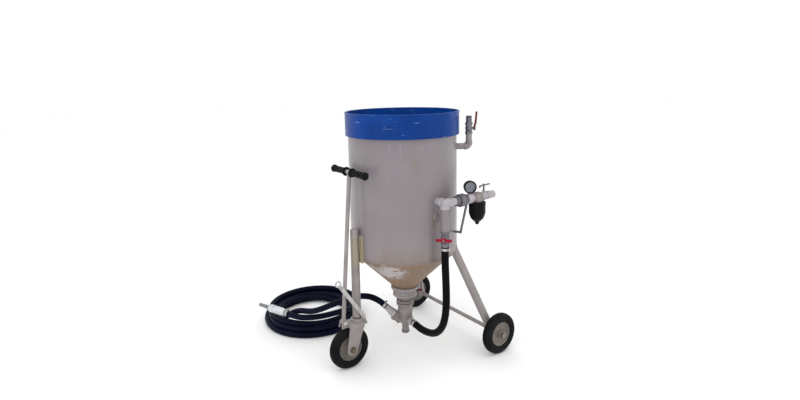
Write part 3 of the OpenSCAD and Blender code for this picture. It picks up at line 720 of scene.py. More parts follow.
def coil_turns(steps=36):
    """The coil's turns, each lying beside or on the ones before it and none of them quite round."""
    out = []
    for (t0, r0, z0), (t1, r1, z1) in zip(COIL_LAYS, COIL_LAYS[1:]):
        count = round((t1 - t0) * steps)
        for k in range(count):
            t = t0 + (t1 - t0) * k / count
            f = k / count
            a = coil_start - math.tau * t
            radius = r0 + (r1 - r0) * f + 0.0025 * math.sin(2 * a + 0.6)
            out.append(coil_middle + Vector((radius * math.cos(a), radius * math.sin(a), z0 + (z1 - z0) * f)))
    return out


def settle(path, passes, fixed=3):
    """Evens out a path, leaving its ends where they are."""
    for _ in range(passes):
        path = [p if i < fixed or i >= len(path) - fixed else (path[i - 1] + 2 * p + path[i + 1]) / 4
                for i, p in enumerate(path)]
    return path


def hose(name, path, diameter, look, replaced, **facts):
    """A hose as one tube along its path."""
    bm = bmesh.new()
    tube(bm, path, diameter / 2, sides=20)
    made = piece(name, bm, look, "tank", replaced, angle=80)
    return made


def nozzle_place():
    """The nozzle's axis, from the hose's end outwards."""
    end = Vector(END_ROUTE[-1])
    return aim(end, Vector((-0.593, -0.487, 0.126)) - end)


def make_nozzle():
    """Nozzle holder with its grip rings and screws, and the tapered nozzle in it."""
    place = nozzle_place()
    bm = bmesh.new()
    holder = [(15.4, -14), (19, -14), (19, 8), (20.8, 11), (20.8, 18)]
    for k in range(9):
        z = 20 + 6 * k
        holder += [(20.8, z), (19.6, z + 1.2), (19.6, z + 2.8), (20.8, z + 4)]
    holder += [(20.8, 84), (18.6, 92), (14.4, 98), (12, 99), (12, 90), (15.4, 84)]
    lathe(bm, soften(holder, 0.5, 1), place, 48)
    for turn in (0.6, 0.6 + math.pi):
        side = place @ Matrix.Rotation(turn, 4, "Z")
        spot = aim(side @ Vector((18.6 * mm, 0, -4 * mm)), side.to_3x3() @ X)
        lathe(bm, soften([(0, 0), (3.2, 0), (3.2, 2.2), (0, 2.2)], 0.6, 2, False), spot, 16)
    holder_piece = piece("nozzle_holder", bm, "bright", "tank", ["blast_nozzle"])
    bm = bmesh.new()
    tip = [(6, 88), (11.4, 88), (11.4, 103), (10.6, 106), (10.2, 112), (8.7, 164), (8.2, 167.4), (6.6, 168),
           (6, 167)]
    lathe(bm, soften(tip, 0.4, 1), place, 40)
    tip_piece = piece("nozzle_tip", bm, "nozzle", "tank")
    return [holder_piece, tip_piece]


def make_hoses():
    hose("air_hose_tube", spline(AIR_ROUTE), air_hose_d, "air_hose", ["air_hose"],
         far_end="object", stiffness="medium", lay="hanging")
    inside = nozzle_place() @ Vector((0, 0, 24 * mm))
    route = [*spline(LEAD_ROUTE)[:-1], *coil_turns(), *spline(END_ROUTE), inside]
    path = resample(settle(resample(route, 12 * mm), 6), 12 * mm)
    pieces = make_nozzle()
    bm = bmesh.new()
    clamp(bm, nozzle_place() @ shift(0, 0, -24), blast_clamp_r, 2.2)
    pieces.append(piece("nozzle_clamp", bm, "zinc", "tank"))
    hose("blast_hose_tube", path, blast_hose_d, "blast_hose",
         ["blast_hose_lead", "blast_hose_coil", "blast_hose_end"], far_end="tool", stiffness="medium",
         lay="coiled", with_pieces=pieces)


make_camera()
make_stage()
make_light()
make_hoses()


# ---------------------------------------------------------------- tank, legs and their welds

def make_welds():
    """Weld beads of the tank: seams, nipples, boss, legs and pad."""
    bm = bmesh.new()
    weld(bm, ring_points(aim((0, 0, seam_z)), tank_r / mm), 3.6)
    bearing = 2.6
    seam = Vector((math.cos(bearing), math.sin(bearing), 0)) * tank_r
    weld(bm, [seam + Z * z for z in (seam_z, collar_z)], 3.2, closed=False)
    weld(bm, ring_points(aim((0, 0, collar_z)), tank_r / mm + 2), 2.6)
    outside, inside = Vector((0.4, 0, manifold.z)), Vector((0.2, 0, manifold.z))
    weld(bm, tank_meets(outside, inside, pipe_r / mm), 3.0)
    vent = Z * vent_z
    weld(bm, tank_meets(vent + side_dir * 0.4, vent + side_dir * 0.2, 15), 3.0)
    boss = middle("side_plug")
    weld(bm, tank_meets(Vector((0.4, boss.y, boss.z)), Vector((0.2, boss.y, boss.z)), 18), 2.2)
    piece("tank_welds", bm, "tank", "tank", angle=60)
    bm = bmesh.new()
    for side in (-1, 1):
        top = Vector((side * rear_leg_top.x, rear_leg_top.y, rear_leg_top.z))
        foot = Vector((side * rear_leg_foot_x, middle("rear_axle").y, low("rear_axle").z + 6 * mm))
        weld(bm, tank_meets(foot, top, 20), 3.2)
        across = Vector((side * rear_leg_foot_x, middle("rear_axle").y, middle("rear_axle").z))
        for end in (-1, 1):
            weld(bm, ring_points(aim(across + X * end * 19 * mm, X), 11), 2.4)
    pad_low, pad_high = low("leg_pad"), high("leg_pad")
    corners = [(pad_low.x, pad_low.z), (pad_high.x, pad_low.z), (pad_high.x, pad_high.z),
               (pad_low.x, pad_high.z)]
    rim = soften(corners, 8 * mm)
    weld(bm, [(x, -math.sqrt(tank_r ** 2 - x * x) - 2 * mm, z) for x, z in rim], 2.6)
    leg = middle("front_leg").x
    for side in (-1, 1):
        line = [(leg + side * 17.5 * mm, pad_low.y - 1 * mm, z)
                for z in (pad_low.z + 4 * mm, pad_high.z - 4 * mm)]
        weld(bm, line, 3.0, closed=False)
    piece("leg_welds", bm, "leg_white", "tank", angle=60)
    bm = bmesh.new()
    weld(bm, ring_points(aim((0, 0, outlet_z + 1.5 * mm)), outlet_r / mm + 1), 3.0)
    piece("cone_weld", bm, "cone", "tank", angle=60)


def make_side_plug():
    """Inspection socket with its hexagonal plug."""
    at = middle("side_plug")
    place = aim((high("side_plug").x - 27 * mm, at.y, at.z), X, Z)
    bm = bmesh.new()
    socket = [(0, 4), (18, 4), (18, 17), (16.4, 20), (13, 20), (12.4, 19), (0, 19)]
    lathe(bm, soften(socket, 0.8, 2, False), place)
    nut(bm, place @ shift(0, 0, 18), 9.2, 8, edge=1.2)
    lathe(bm, soften([(0, 24), (6.4, 24), (5.6, 27), (0, 27)], 0.8, 2, False), place, 24)
    piece("side_plug_detail", bm, "tank", "tank", ["side_plug"])


# ---------------------------------------------------------------- wheels

def make_wheel(side, body, tyre_node, rim_node):
    """Solid rubber tyre with its ribs on a pressed rim with hub, ridge and rolled lips."""
    at = middle(tyre_node)
    place = aim(at, X, Z)
    bm = bmesh.new()
    half = [(rim_r + 0.3, 14.5), (61.4, 17.2), (65, 19.2), (69, 20.6), (70.2, 20), (72, 20.2), (73.4, 21.6),
            (79, 22.4), (84.6, 22.2), (89.4, 20.8), (92.2, 19), (93.4, 17.4), (95, 16.8), (97.4, 13.6),
            (99.2, 9.8), (99.5, 8.4), (98, 7.9), (98, 6.3), (99.7, 5.8), (100, 1.2), (98.7, 0.9)]
    tread = half + [(r, -z) for r, z in half[::-1]]
    lathe(bm, tread, place, 120)
    piece(f"{side}_tyre_detail", bm, "tyre", body, [tyre_node], angle=24)
    bm = bmesh.new()
    bore = 8.2 if side == "front" else 10.2
    half = [(bore, 26), (17.5, 26), (19.6, 24), (20.4, 12), (22, 7.2), (26, 5.6), (28, 6.6), (30.4, 5.6),
            (43.4, 5.6), (46.4, 8), (50, 8.6), (52.4, 11), (53.6, 14), (56, 16.4), (58.4, 16.6), (59.2, 15)]
    lathe(bm, half + [(r, -z) for r, z in half[::-1]], place, 96)
    for end in (-1, 1):
        for hole in around(aim(at, X * end, Z), 5, 37):
            lathe(bm, [(4.2, 5.2), (6.6, 5.2), (6.2, 6.6), (5.0, 6.8), (4.2, 6.2)], hole, 20)
            lathe(bm, [(0, 5.3), (4.4, 5.3), (4.4, 5.75), (0, 5.75)], hole, 20)
    piece(f"{side}_rim_detail", bm, "rim", body, [rim_node], angle=30)


def make_axle_caps():
    """Washers, castellated nuts and end caps on the rear axle."""
    at = middle("rear_axle")
    bm = bmesh.new()
    for side in (-1, 1):
        wheel = Vector((side * middle("rear_tyre_right").x, at.y, at.z))
        place = aim(wheel, X * side, Z)
        for radius, z0, z1 in ((15, -31, -26.4), (15.5, 26.3, 28.6)):
            washer = [(10, z0), (radius, z0), (radius, z1), (10, z1)]
            lathe(bm, soften(washer, 0.5, 1), place, 32)
        nut(bm, place @ shift(0, 0, 28.6), 12.4, 6.4, edge=0.9)
        lathe(bm, soften([(0, 34), (9.6, 34), (9.4, 36.4), (5, 37.4), (0, 37.5)], 0.8, 2, False), place, 32)
    piece("axle_nuts", bm, "bronze", "tank", ["axle_caps"])


# ---------------------------------------------------------------- front fork, tow handle and catch

def make_fork():
    """The fork's plates, crown, boss and ears, with their welds."""
    lo, hi = low("swivel_fork"), high("swivel_fork")
    wheel = pivot("front_wheel_spin")
    tow, catch = pivot("tow_handle_fold"), pivot("catch_lever_swing")
    crown = tow.z - 24 * mm
    tow_ears, catch_ear = (-17, 11.5), 21.4
    bm = bmesh.new()
    block(bm, (72, 94, 12), Matrix.Translation((0, fork_middle_y, crown + 6 * mm)), edge=1.6)
    lathe(bm, soften([(12.1, 0), (30, 0), (30, 25), (27, 28), (12.1, 28)], 1.0, 2), aim((0, swivel.y, crown)))
    side_plate = [(68, 109), (-10, 109), (-28, 0), *arc_points(28, 192, 348, 13), (28, 0)]
    for x in (lo.x, hi.x - 6 * mm):
        place = aim((x, wheel.y, wheel.z), X, Y)
        plate(bm, soften(side_plate, 3), 6, place, [circle(8.1)], edge=0.9)
    ear = [(-18, -24), (-12, 2), (-8, 9), (0, 12), (8, 9), (12, 2), (18, -24)]
    for x in tow_ears:
        place = aim((x * mm, tow.y, tow.z), X, Y)
        plate(bm, soften(ear, 3), 5.5, place, [circle(6.1)], edge=0.8)
    ear = [(-12, -38), (-12, 2), (-7, 9), (0, 10), (7, 9), (12, 2), (12, -38)]
    place = aim((catch_ear * mm, catch.y, catch.z), X, Y)
    plate(bm, soften(ear, 3), 5.3, place, [circle(4.1)], edge=0.8)
    weld(bm, ring_points(aim((0, swivel.y, crown + 12.5 * mm)), 30.5), 2.6)
    for x in (*tow_ears, catch_ear):
        y = catch.y if x == catch_ear else tow.y
        for side in (-0.6 * mm, 6 * mm):
            line = [(x * mm + side, y + s * mm, crown + 12.5 * mm) for s in (-11, 11)]
            weld(bm, line, 1.9, closed=False)
    piece("fork_frame", bm, "leg_white", "fork", ["swivel_fork"])
    bm = bmesh.new()
    end = aim(wheel + X * 36 * mm, X, Y)
    lathe(bm, soften([(0, 0), (14.4, 0), (14.4, 2.2), (0, 2.2)], 0.5, 1, False), end, 32)
    nut(bm, end @ shift(0, 0, 2), 12, 10, edge=1.0)
    lathe(bm, soften([(0, 11), (8, 11), (8, 16.6), (6.8, 18), (0, 18)], 0.5, 1, False), end, 24)
    end = aim(wheel - X * 36 * mm, -X, Y)
    nut(bm, end, 12, 7.6, edge=1.0)
    lathe(bm, [(0, -72), (8, -72), (8, 0), (0, 0)], end, 32)
    for x in (-30, 26.3):
        lathe(bm, [(8.1, 0), (14, 0), (14, 3.7), (8.1, 3.7)], aim(wheel + X * x * mm, X), 32)
    piece("front_axle_detail", bm, "bronze", "fork", ["front_axle_bolt"])
    bm = bmesh.new()
    pin = aim(tow - X * 21 * mm, X, Y)
    shank = [(0, 0), (8.8, 0), (9, 3.9), (6, 4), (6, 38), (9, 38.1), (8.8, 42), (0, 42)]
    lathe(bm, soften(shank, 0.6, 2, False), pin, 32)
    bolt_end = aim(catch + X * 2.9 * mm, X, Y)
    lathe(bm, [(0, -11), (4, -11), (4, 1), (0, 1)], bolt_end, 20)
    bolt(bm, bolt_end, 6, 3.4, 0)
    piece("fork_pin_details", bm, "zinc", "fork", ["fork_pins"])


def make_tow_handle():
    """Ribbed grips with flanges, and the welds of the tube."""
    tow, bar = pivot("tow_handle_fold"), middle("tow_cross_bar")
    end = high("tow_grips").x / mm
    bm = bmesh.new()
    for side in (-1, 1):
        grip = [(9.6, 24), (20, 24), (21, 25), (21, 27.4), (19, 29.4), (15.4, 31.5)]
        for k in range(22):
            z = 33 + 4.3 * k
            grip += [(14.9, z), (14.9, z + 2.4), (13.9, z + 2.9), (13.9, z + 3.8)]
        grip += [(15, 129), (17.4, 132), (18, 134), (18, end - 2.5), (16, end - 0.4), (0, end)]
        lathe(bm, [(0, 24), *grip], aim(bar, X * side, Z), 40)
    piece("grip_details", bm, "grip", "tow_handle", ["tow_grips"], angle=30)
    bm = bmesh.new()
    along = (bar - tow).normalized()
    weld(bm, ring_points(aim(bar - along * 9.6 * mm, along), 9.8), 2.2)
    weld(bm, ring_points(aim(tow + along * 11.5 * mm, along), 9.8), 2.2)
    piece("tow_welds", bm, "leg_white", "tow_handle", angle=60)


def make_catch():
    """The catch lever: a flat bar with softened edges, a boss and a pull ring."""
    lo, hi = low("catch_lever"), high("catch_lever")
    start, far = pivot("catch_lever_swing"), Vector((0, lo.y + 16 * mm, hi.z - 16 * mm))
    run = Vector((far.y - start.y, far.z - start.z))
    length = run.length / mm
    turn = math.atan2(run.y, run.x)
    place = aim((lo.x, start.y, start.z), X, Y) @ Matrix.Rotation(turn, 4, "Z")
    head = [(length + x, y) for x, y in arc_points(15.7, 140, -140, 15)]
    foot = [(-x, y) for x, y in arc_points(9, -80, 80, 9)]
    outline = [(length - 22, 9), *head, (length - 22, -9), *foot]
    bm = bmesh.new()
    plate(bm, outline, 5, place, [circle(4.1), circle(9, (length, 0), 32)], edge=0.9)
    piece("catch_bar", bm, "zinc", "catch", ["catch_lever"])


# ---------------------------------------------------------------- pipes and valves

def fitting_end(bm, place, reach, radius):
    """A socket of a malleable fitting with its beaded rim; place's Z points out of it."""
    profile = [(bore, 0), (radius - 2, 0), (radius - 2, reach - 9), (radius, reach - 7), (radius, reach),
               (bore, reach)]
    lathe(bm, soften(profile, 1.2, 2), place, 40)


def pipe_end(bm, place, start, end, radius=pipe):
    """A plain stretch of pipe along the Z of place."""
    lathe(bm, [(bore, start), (radius, start), (radius, end), (bore, end)], place, 40)


def make_cross():
    """The cross at the tank wall and the nipple to the union."""
    bm = bmesh.new()
    at = Vector((middle("down_pipe").x, 0, manifold.z))
    lathe(bm, arc_points(20.4, -90, 90, 19), aim(at), 40)
    for axis, reach in ((-X, 23), (Y, 26), (-Z, 26)):
        fitting_end(bm, aim(at, axis, Z if axis.z == 0 else X), reach, 22)
    nipple = [(bore - 0.1, 24), (pipe, 24), (pipe, 62), (bore - 0.1, 62)]
    lathe(bm, nipple, aim(at, Y, Z), 40)
    piece("cross_fitting", bm, "pipe_white", "tank", ["pipe_cross"])


def make_union():
    """The union with its octagonal nut and the nipple after it."""
    place = aim((middle("pipe_union").x, low("pipe_union").y, manifold.z), Y, Z)
    length = (high("pipe_union").y - low("pipe_union").y) / mm
    bm = bmesh.new()
    fitting_end(bm, aim(place @ Vector((0, 0, 22 * mm)), -Y, Z), 22, 23.5)
    nut(bm, place @ shift(0, 0, 20), 28.6, 25.5, sides=8, edge=2.4)
    lathe(bm, soften([(bore, 44), (24, 44), (24, 60), (22, 64), (bore, 64)], 1.2, 2), place, 40)
    pipe_end(bm, place, 60, length)
    piece("union_detail", bm, "iron", "tank", ["pipe_union"])


def make_tee():
    """The gauge's tee: a hexagonal body between two round lips, and its neck."""
    lo, hi = low("gauge_tee"), high("gauge_tee")
    place = aim((middle("pipe_union").x, lo.y, manifold.z), Y, X)
    length = (hi.y - lo.y) / mm
    bm = bmesh.new()
    lathe(bm, soften([(bore, 0), (20, 0), (20, 6), (bore, 6)], 1, 2), place, 40)
    nut(bm, place @ shift(0, 0, 4), 20.4, length - 8, edge=1.8)
    lathe(bm, soften([(bore, length - 6), (20, length - 6), (20, length), (bore, length)], 1, 2), place, 40)
    neck = aim(Vector((place.translation.x, middle("gauge_case").y, manifold.z)))
    lathe(bm, soften([(0, 16), (9, 16), (9, 25.5), (0, 25.5)], 1, 2, False), neck, 32)
    piece("tee_detail", bm, "pipe_white", "tank", ["gauge_tee"])


def gauge_place():
    turn = Vector(joints["gauge_needle_turn"]["axis"])
    return aim(pivot("gauge_needle_turn"), turn, Z)


def make_gauge():
    """Gauge case with its rolled bezel, dial with ticks, and a neck nut."""
    place = gauge_place()
    bm = bmesh.new()
    case = [(0, -12), (24, -12), (26.5, -10.5), (28, -8), (28, 6), (29.6, 7.4), (30, 9), (30, 12.6),
            (29, 14.6), (25, 15.4), (23.4, 14.2), (23.4, 13.6), (26.9, 13.6), (26.9, 4.2), (0, 4.2)]
    lathe(bm, soften(case, 0.4, 2, False), place, 72)
    neck = aim((place.translation.x, place.translation.y, low("gauge_case").z - 4 * mm))
    nut(bm, neck, 8, 6, edge=0.8)
    piece("gauge_shell", bm, "black", "tank", ["gauge_case"])
    bm = bmesh.new()
    lathe(bm, [(0, 4.0), (26.6, 4.0), (26.6, 4.9), (0, 4.9)], place, 64)
    piece("gauge_dial", bm, "dial", "tank")
    bm = bmesh.new()
    for k in range(51):
        turn = math.radians(-225 + 270 * k / 50)
        at, length, width = (20.4, 4.0, 0.9) if k % 5 == 0 else (21.2, 2.2, 0.4)
        block(bm, (length, width, 0.3), place @ Matrix.Rotation(turn, 4, "Z") @ shift(at, 0, 4.95), edge=0)
    arc = [place @ Vector((x * mm, y * mm, 5 * mm)) for x, y in arc_points(14, -225, 45, 55)]
    tube(bm, arc, 0.45 * mm, 6)
    piece("gauge_ticks", bm, "ink", "tank")


def make_filter():
    """Filter head with its rounded flanks and ports, ribbed bowl and drain knob."""
    lo, hi = low("filter_head"), high("filter_head")
    at = Vector((middle("filter_bowl").x, middle("filter_bowl").y, manifold.z))
    bm = bmesh.new()
    length = (hi.y - lo.y) / mm
    ends = aim((at.x, lo.y, at.z), Y, Z)
    lathe(bm, soften([(bore, 0), (22, 0), (22, length), (bore, length)], 2, 3), ends, 40)
    block(bm, (50, length - 18, 34), Matrix.Translation((at.x, (lo.y + hi.y) / 2, at.z - 1 * mm)), edge=5)
    crown = [(0, -20.5), (27, -20.5), (27, 12), (24.5, 18), (20, 21), (12, 22.6), (0, 23)]
    lathe(bm, soften(crown, 2, 3, False), aim(at), 56)
    for k in range(4):
        a = math.radians(45 + 90 * k)
        bolt(bm, aim(at + Vector((19 * mm * math.cos(a), 19 * mm * math.sin(a), 17 * mm))), 3.2, 2.4, 0)
    piece("filter_head_detail", bm, "cast", "tank", ["filter_head"])
    bm = bmesh.new()
    top = (high("filter_bowl").z - manifold.z) / mm
    place = aim(at + Z * top * mm)
    bowl = [(10, 0), (38, 0), (40, -1.5), (40, -13), (38.6, -15), (38.6, -52), (37.4, -58), (30.5, -78),
            (18, -91), (11, -96.5), (11, -101), (6.2, -101), (6.2, -96), (26, -76), (35, -54), (35, -5),
            (10, -5)]
    lathe(bm, soften(bowl, 1.2, 2), place, 96,
          ripple=lambda k, r, z: 1.1 if k % 8 in (0, 1) and r > 38.2 and -52 < z < -14 else 0)
    for rib in around(place, 12, 39, -7):
        block(bm, (1.8, 5, 10), rib, edge=0.7)
    piece("filter_bowl_detail", bm, "black", "tank", ["filter_bowl"], angle=30)
    bm = bmesh.new()
    place = aim((at.x, at.y, low("filter_drain").z))
    knob = [(0, 0), (7, 0), (7.8, 1.2), (7.8, 6.2), (5.9, 6.6), (5.9, 11.5), (0, 11.5)]
    lathe(bm, soften(knob, 0.4, 1, False), place, 48,
          ripple=lambda k, r, z: -0.7 if k % 4 == 0 and r > 7 else 0)
    piece("drain_knob", bm, "black", "drain", ["filter_drain"])


def valve_body(bm, place, half, r):
    """A ball valve along the Z of place with its stem housing on +X: hexagonal ends and gland."""
    for end in (-1, 1):
        foot = place @ shift(0, 0, -half if end < 0 else 0.6 * half)
        nut(bm, foot, r, 0.4 * half, sides=6 if r < 19 else 8, edge=1.2)
    shape = [(0.86, -0.56), (0.98, -0.42), (1.07, -0.2), (1.08, 0.1), (0.98, 0.34), (0.88, 0.5)]
    outside = [(0.84 * r, -half + 1), *[(x * r, z * half) for x, z in shape], (0.84 * r, half - 1)]
    pocket = [(bore, 9.8), (14.4, 6.9), (15.7, 2.6), (15.7, -2.6), (14.4, -6.9), (bore, -9.8)]
    side = [(bore, -half + 1), *outside, (bore, half - 1), *pocket]
    lathe(bm, soften(side, 1.5, 2), place, 48)
    stem = aim(place.translation, place.to_3x3() @ X, place.to_3x3() @ Z)
    housing = [(4.1, 0.8 * r), (0.5 * r, 0.8 * r), (0.42 * r, r + 2), (0.42 * r, r + 4), (4.1, r + 4)]
    lathe(bm, soften(housing, 0.5, 1), stem, 32)
    lathe(bm, soften([(4.15, 0), (6.6, 0), (6.6, 4), (4.15, 4)], 0.6, 2), stem @ shift(0, 0, r + 3), 6)


def stem_nut(bm, place, low_at, flat=6.2):
    """The lever's nut on a stem along Z, starting at low_at mm."""
    nut(bm, place @ shift(0, 0, low_at), flat, 4.2)
    stud = [(0, low_at + 3.6), (3.1, low_at + 3.6), (3.1, low_at + 5.8), (0, low_at + 5.8)]
    lathe(bm, soften(stud, 0.6, 2, False), place, 20)


def bent_lever(bm, place, profile, width, thick, root):
    """A pressed lever: profile is its line in the XZ plane of place; its root is narrower at the tip."""
    points = resample([Vector((x, 0, z)) * mm for x, z in soften(profile, 6, 5, False)], 2.5 * mm)
    own = bmesh.new()
    rows = []
    for i, p in enumerate(points):
        along = (points[min(i + 1, len(points) - 1)] - points[max(i - 1, 0)]).normalized()
        out = along.cross(Y)
        s = i / (len(points) - 1)
        ends = min(1.0, math.sqrt(max(0.0, 1 - max(0.0, 1 - s * len(points) / 3) ** 2) + 0.02),
                   math.sqrt(max(0.0, 1 - max(0.0, 1 - (1 - s) * len(points) / 3) ** 2) + 0.02))
        w = width / 2 * ends * (root + (1 - root) * min(1.0, s * 2.4))
        flat = max(w - thick / 2, 0.1)
        loop = slot_outline(2 * flat, thick, 5)
        rows.append([own.verts.new(p + Y * (x - flat) * mm + out * y * mm) for x, y in loop])
    for a, b in zip(rows, rows[1:]):
        for k in range(len(a)):
            own.faces.new((a[k], a[(k + 1) % len(a)], b[(k + 1) % len(a)], b[k]))
    own.faces.new(rows[0][::-1])
    own.faces.new(rows[-1])
    merge(bm, own, place)


def make_vent():
    """Vent nipple, elbow and riser, the valve on it and its dipped lever."""
    ball = pivot("vent_valve_turn")
    half = 27
    corner = Vector((ball.x, ball.y, vent_z))
    bm = bmesh.new()
    bend = [corner + 20 * mm * (Z * t ** 2 - side_dir * (1 - t) ** 2) for t in [k / 10 for k in range(11)]]
    tube(bm, bend, 16.6 * mm, 28)
    for axis in (-side_dir, Z):
        fitting_end(bm, aim(corner + axis * 6 * mm, axis, Z if axis.z == 0 else X), 16, 18)
    wall = corner - side_dir * 66 * mm
    tube(bm, [wall + side_dir * 3 * mm, corner - side_dir * 18 * mm], 15 * mm, 32)
    pipe_end(bm, aim(corner), 16, (ball.z - vent_z) / mm - half + 0.2, 15)
    piece("vent_elbow", bm, "leg_white", "tank", ["vent_pipe"])
    bm = bmesh.new()
    place = aim(ball, Z, side_dir)
    valve_body(bm, place, half, 16)
    piece("vent_valve_detail", bm, "dull_zinc", "tank", ["vent_valve_body"])
    bm = bmesh.new()
    lathe(bm, soften([(bore, 26), (14, 26), (14, 46), (13.4, 47), (13.4, 59), (bore, 59)], 0.3, 1), place, 40)
    for k in range(5):
        z = 48 + 2 * k
        lathe(bm, [(13.3, z), (14, z + 0.6), (14, z + 0.9), (13.3, z + 1.5)], place, 40)
    piece("vent_nipple", bm, "iron", "tank")
    bm = bmesh.new()
    top = (high("vent_lever").z - ball.z) / mm
    bent_lever(bm, place, [(26.8, -11), (26.8, 10), (32, 22), (37, top - 1)], 16, 9.0, 0.6)
    piece("vent_lever_grip", bm, "dark_red", "vent_handle", ["vent_lever"])
    bm = bmesh.new()
    stem_nut(bm, aim(ball, side_dir, Z), 28.6)
    piece("vent_lever_nut", bm, "zinc", "vent_handle")


def make_inlet():
    """Inlet ball valve with its thin lever, and the open pipe end."""
    ball = pivot("inlet_valve_turn")
    bm = bmesh.new()
    place = aim(ball, Y, Z)
    valve_body(bm, place, 24, 19)
    end = (high("inlet_valve_body").y - ball.y) / mm
    lathe(bm, soften([(bore, 22), (17, 22), (17, end), (bore, end)], 0.6, 1), place, 40)
    fitting_end(bm, place @ shift(0, 0, 22), 15, 19)
    piece("inlet_valve_detail", bm, "pipe_white", "tank", ["inlet_valve_body"])
    bm = bmesh.new()
    rise = (middle("inlet_lever").z - ball.z) / mm
    line = [(rise - 9, -29), (rise - 1, -22), (rise, -8), (rise, 12), (rise + 2, 39)]
    bent_lever(bm, place, line, 13, 4.2, 0.9)
    stem = aim(ball, Z, Y)
    lathe(bm, [(0, 22), (4.2, 22), (4.2, rise), (0, rise)], stem, 20)
    stem_nut(bm, stem, rise + 1)
    piece("inlet_lever_bar", bm, "dull_zinc", "inlet_handle", ["inlet_lever"])


def make_air_valve():
    """Air shut-off above the hose, its butterfly handle, and the hose's fittings and clamps."""
    ball = pivot("air_valve_turn")
    stem = Vector(joints["air_valve_turn"]["axis"])
    place = aim(ball, Z, stem)
    half = (high("air_valve_body").z - ball.z) / mm
    bm = bmesh.new()
    valve_body(bm, place, half, 19)
    piece("air_valve_detail", bm, "dull_zinc", "tank", ["air_valve_body"])
    bm = bmesh.new()
    wing = [(-36, -4), (-33, -7), (-14, -5.4), (-8, -8.6), (8, -8.6), (14, -5.4), (33, -7), (36, -4), (36, 4),
            (33, 7), (14, 5.4), (8, 8.6), (-8, 8.6), (-14, 5.4), (-33, 7), (-36, 4)]
    face = aim(ball + stem * 30 * mm, stem, Z.cross(stem))
    plate(bm, soften(wing, 3, 3), 5, face, edge=1.6)
    lathe(bm, soften([(0, 0), (11, 0), (11, 6.5), (9, 8), (0, 8)], 1.2, 2, False), face, 32)
    for x in (-20, -25, -30, 20, 25, 30):
        block(bm, (1.4, 9, 1.4), face @ shift(x, 0, 5), edge=0.5)
    piece("air_handle_grip", bm, "red", "air_handle", ["air_valve_handle"])
    bm = bmesh.new()
    stem_nut(bm, aim(ball, stem, Z), 37.4, 5.4)
    piece("air_handle_nut", bm, "dull_zinc", "air_handle")
    bm = bmesh.new()
    top = aim(AIR_ROUTE[0])
    reach = (ball.z - AIR_ROUTE[0][2]) / mm - half
    lathe(bm, soften([(10, 0), (14, 0), (14, reach), (10, reach)], 0.4, 1), top, 32)
    clamp(bm, top @ shift(0, 0, -11), air_clamp_r, 0.5)
    tail = aim(AIR_ROUTE[-1], Vector(AIR_ROUTE[-1]) - Vector(AIR_ROUTE[-2]), Z)
    straight = aim((43 * mm, 0, AIR_ROUTE[-1][2]), X, Z)
    lathe(bm, soften([(10, 0), (14, 0), (14, 24), (10, 24)], 0.4, 1), straight, 32)
    nut(bm, straight, 17.5, 7, edge=1)
    clamp(bm, tail @ shift(0, 0, -13), air_clamp_r, 2.4)
    piece("hose_tails", bm, "zinc", "tank", ["hose_fittings"])


def make_media_valve():
    """Flanged shut-off under the cone, its bolts and its lever."""
    lo, hi = low("media_valve"), high("media_valve")
    top, place = (hi.z - lo.z) / mm, aim((0, 0, lo.z))
    bm = bmesh.new()
    body = [(30, top), (70, top), (70, top - 13.5), (62.5, top - 15), (61, top - 20), (55, top - 24),
            (55, top - 38), (60, top - 42), (61.5, top - 49), (54, top - 54), (39, top - 62), (33, 9),
            (33, 0), (24, 0), (24, 12), (30, 20)]
    lathe(bm, soften(body, 1.6, 2), place, 72)
    for rib in around(place, 8, 57.4, top - 32, start=0.5):
        block(bm, (7, 8, 40), rib, edge=2)
    for spot in around(aim((0, 0, hi.z - 13.5 * mm), -Z, X), 8, 64):
        bolt(bm, spot, 4.2, 3.6)
    piece("media_valve_body", bm, "white", "tank", ["media_valve"])
    stem = aim(pivot("media_valve_turn"), side_dir, Z)
    bm = bmesh.new()
    lathe(bm, [(0, 40), (5, 40), (5, 84), (0, 84)], stem, 24)
    plate(bm, soften(slot_outline(46, 15), 1, 1), 4, stem @ shift(0, 0, 80), edge=1.2)
    lathe(bm, soften([(0, 79), (9, 79), (9, 84), (0, 84)], 0.8, 2, False), stem, 24)
    piece("media_lever_grip", bm, "dark_red", "media_handle", ["media_lever"])


def outlet_place():
    """The outlet port's axis, which leans up and back from the metering valve."""
    away = Vector((-side_dir.x, -side_dir.y, 0))
    return aim(away * 18 * mm + Z * 133 * mm, away + Z, side_dir.cross(Z))


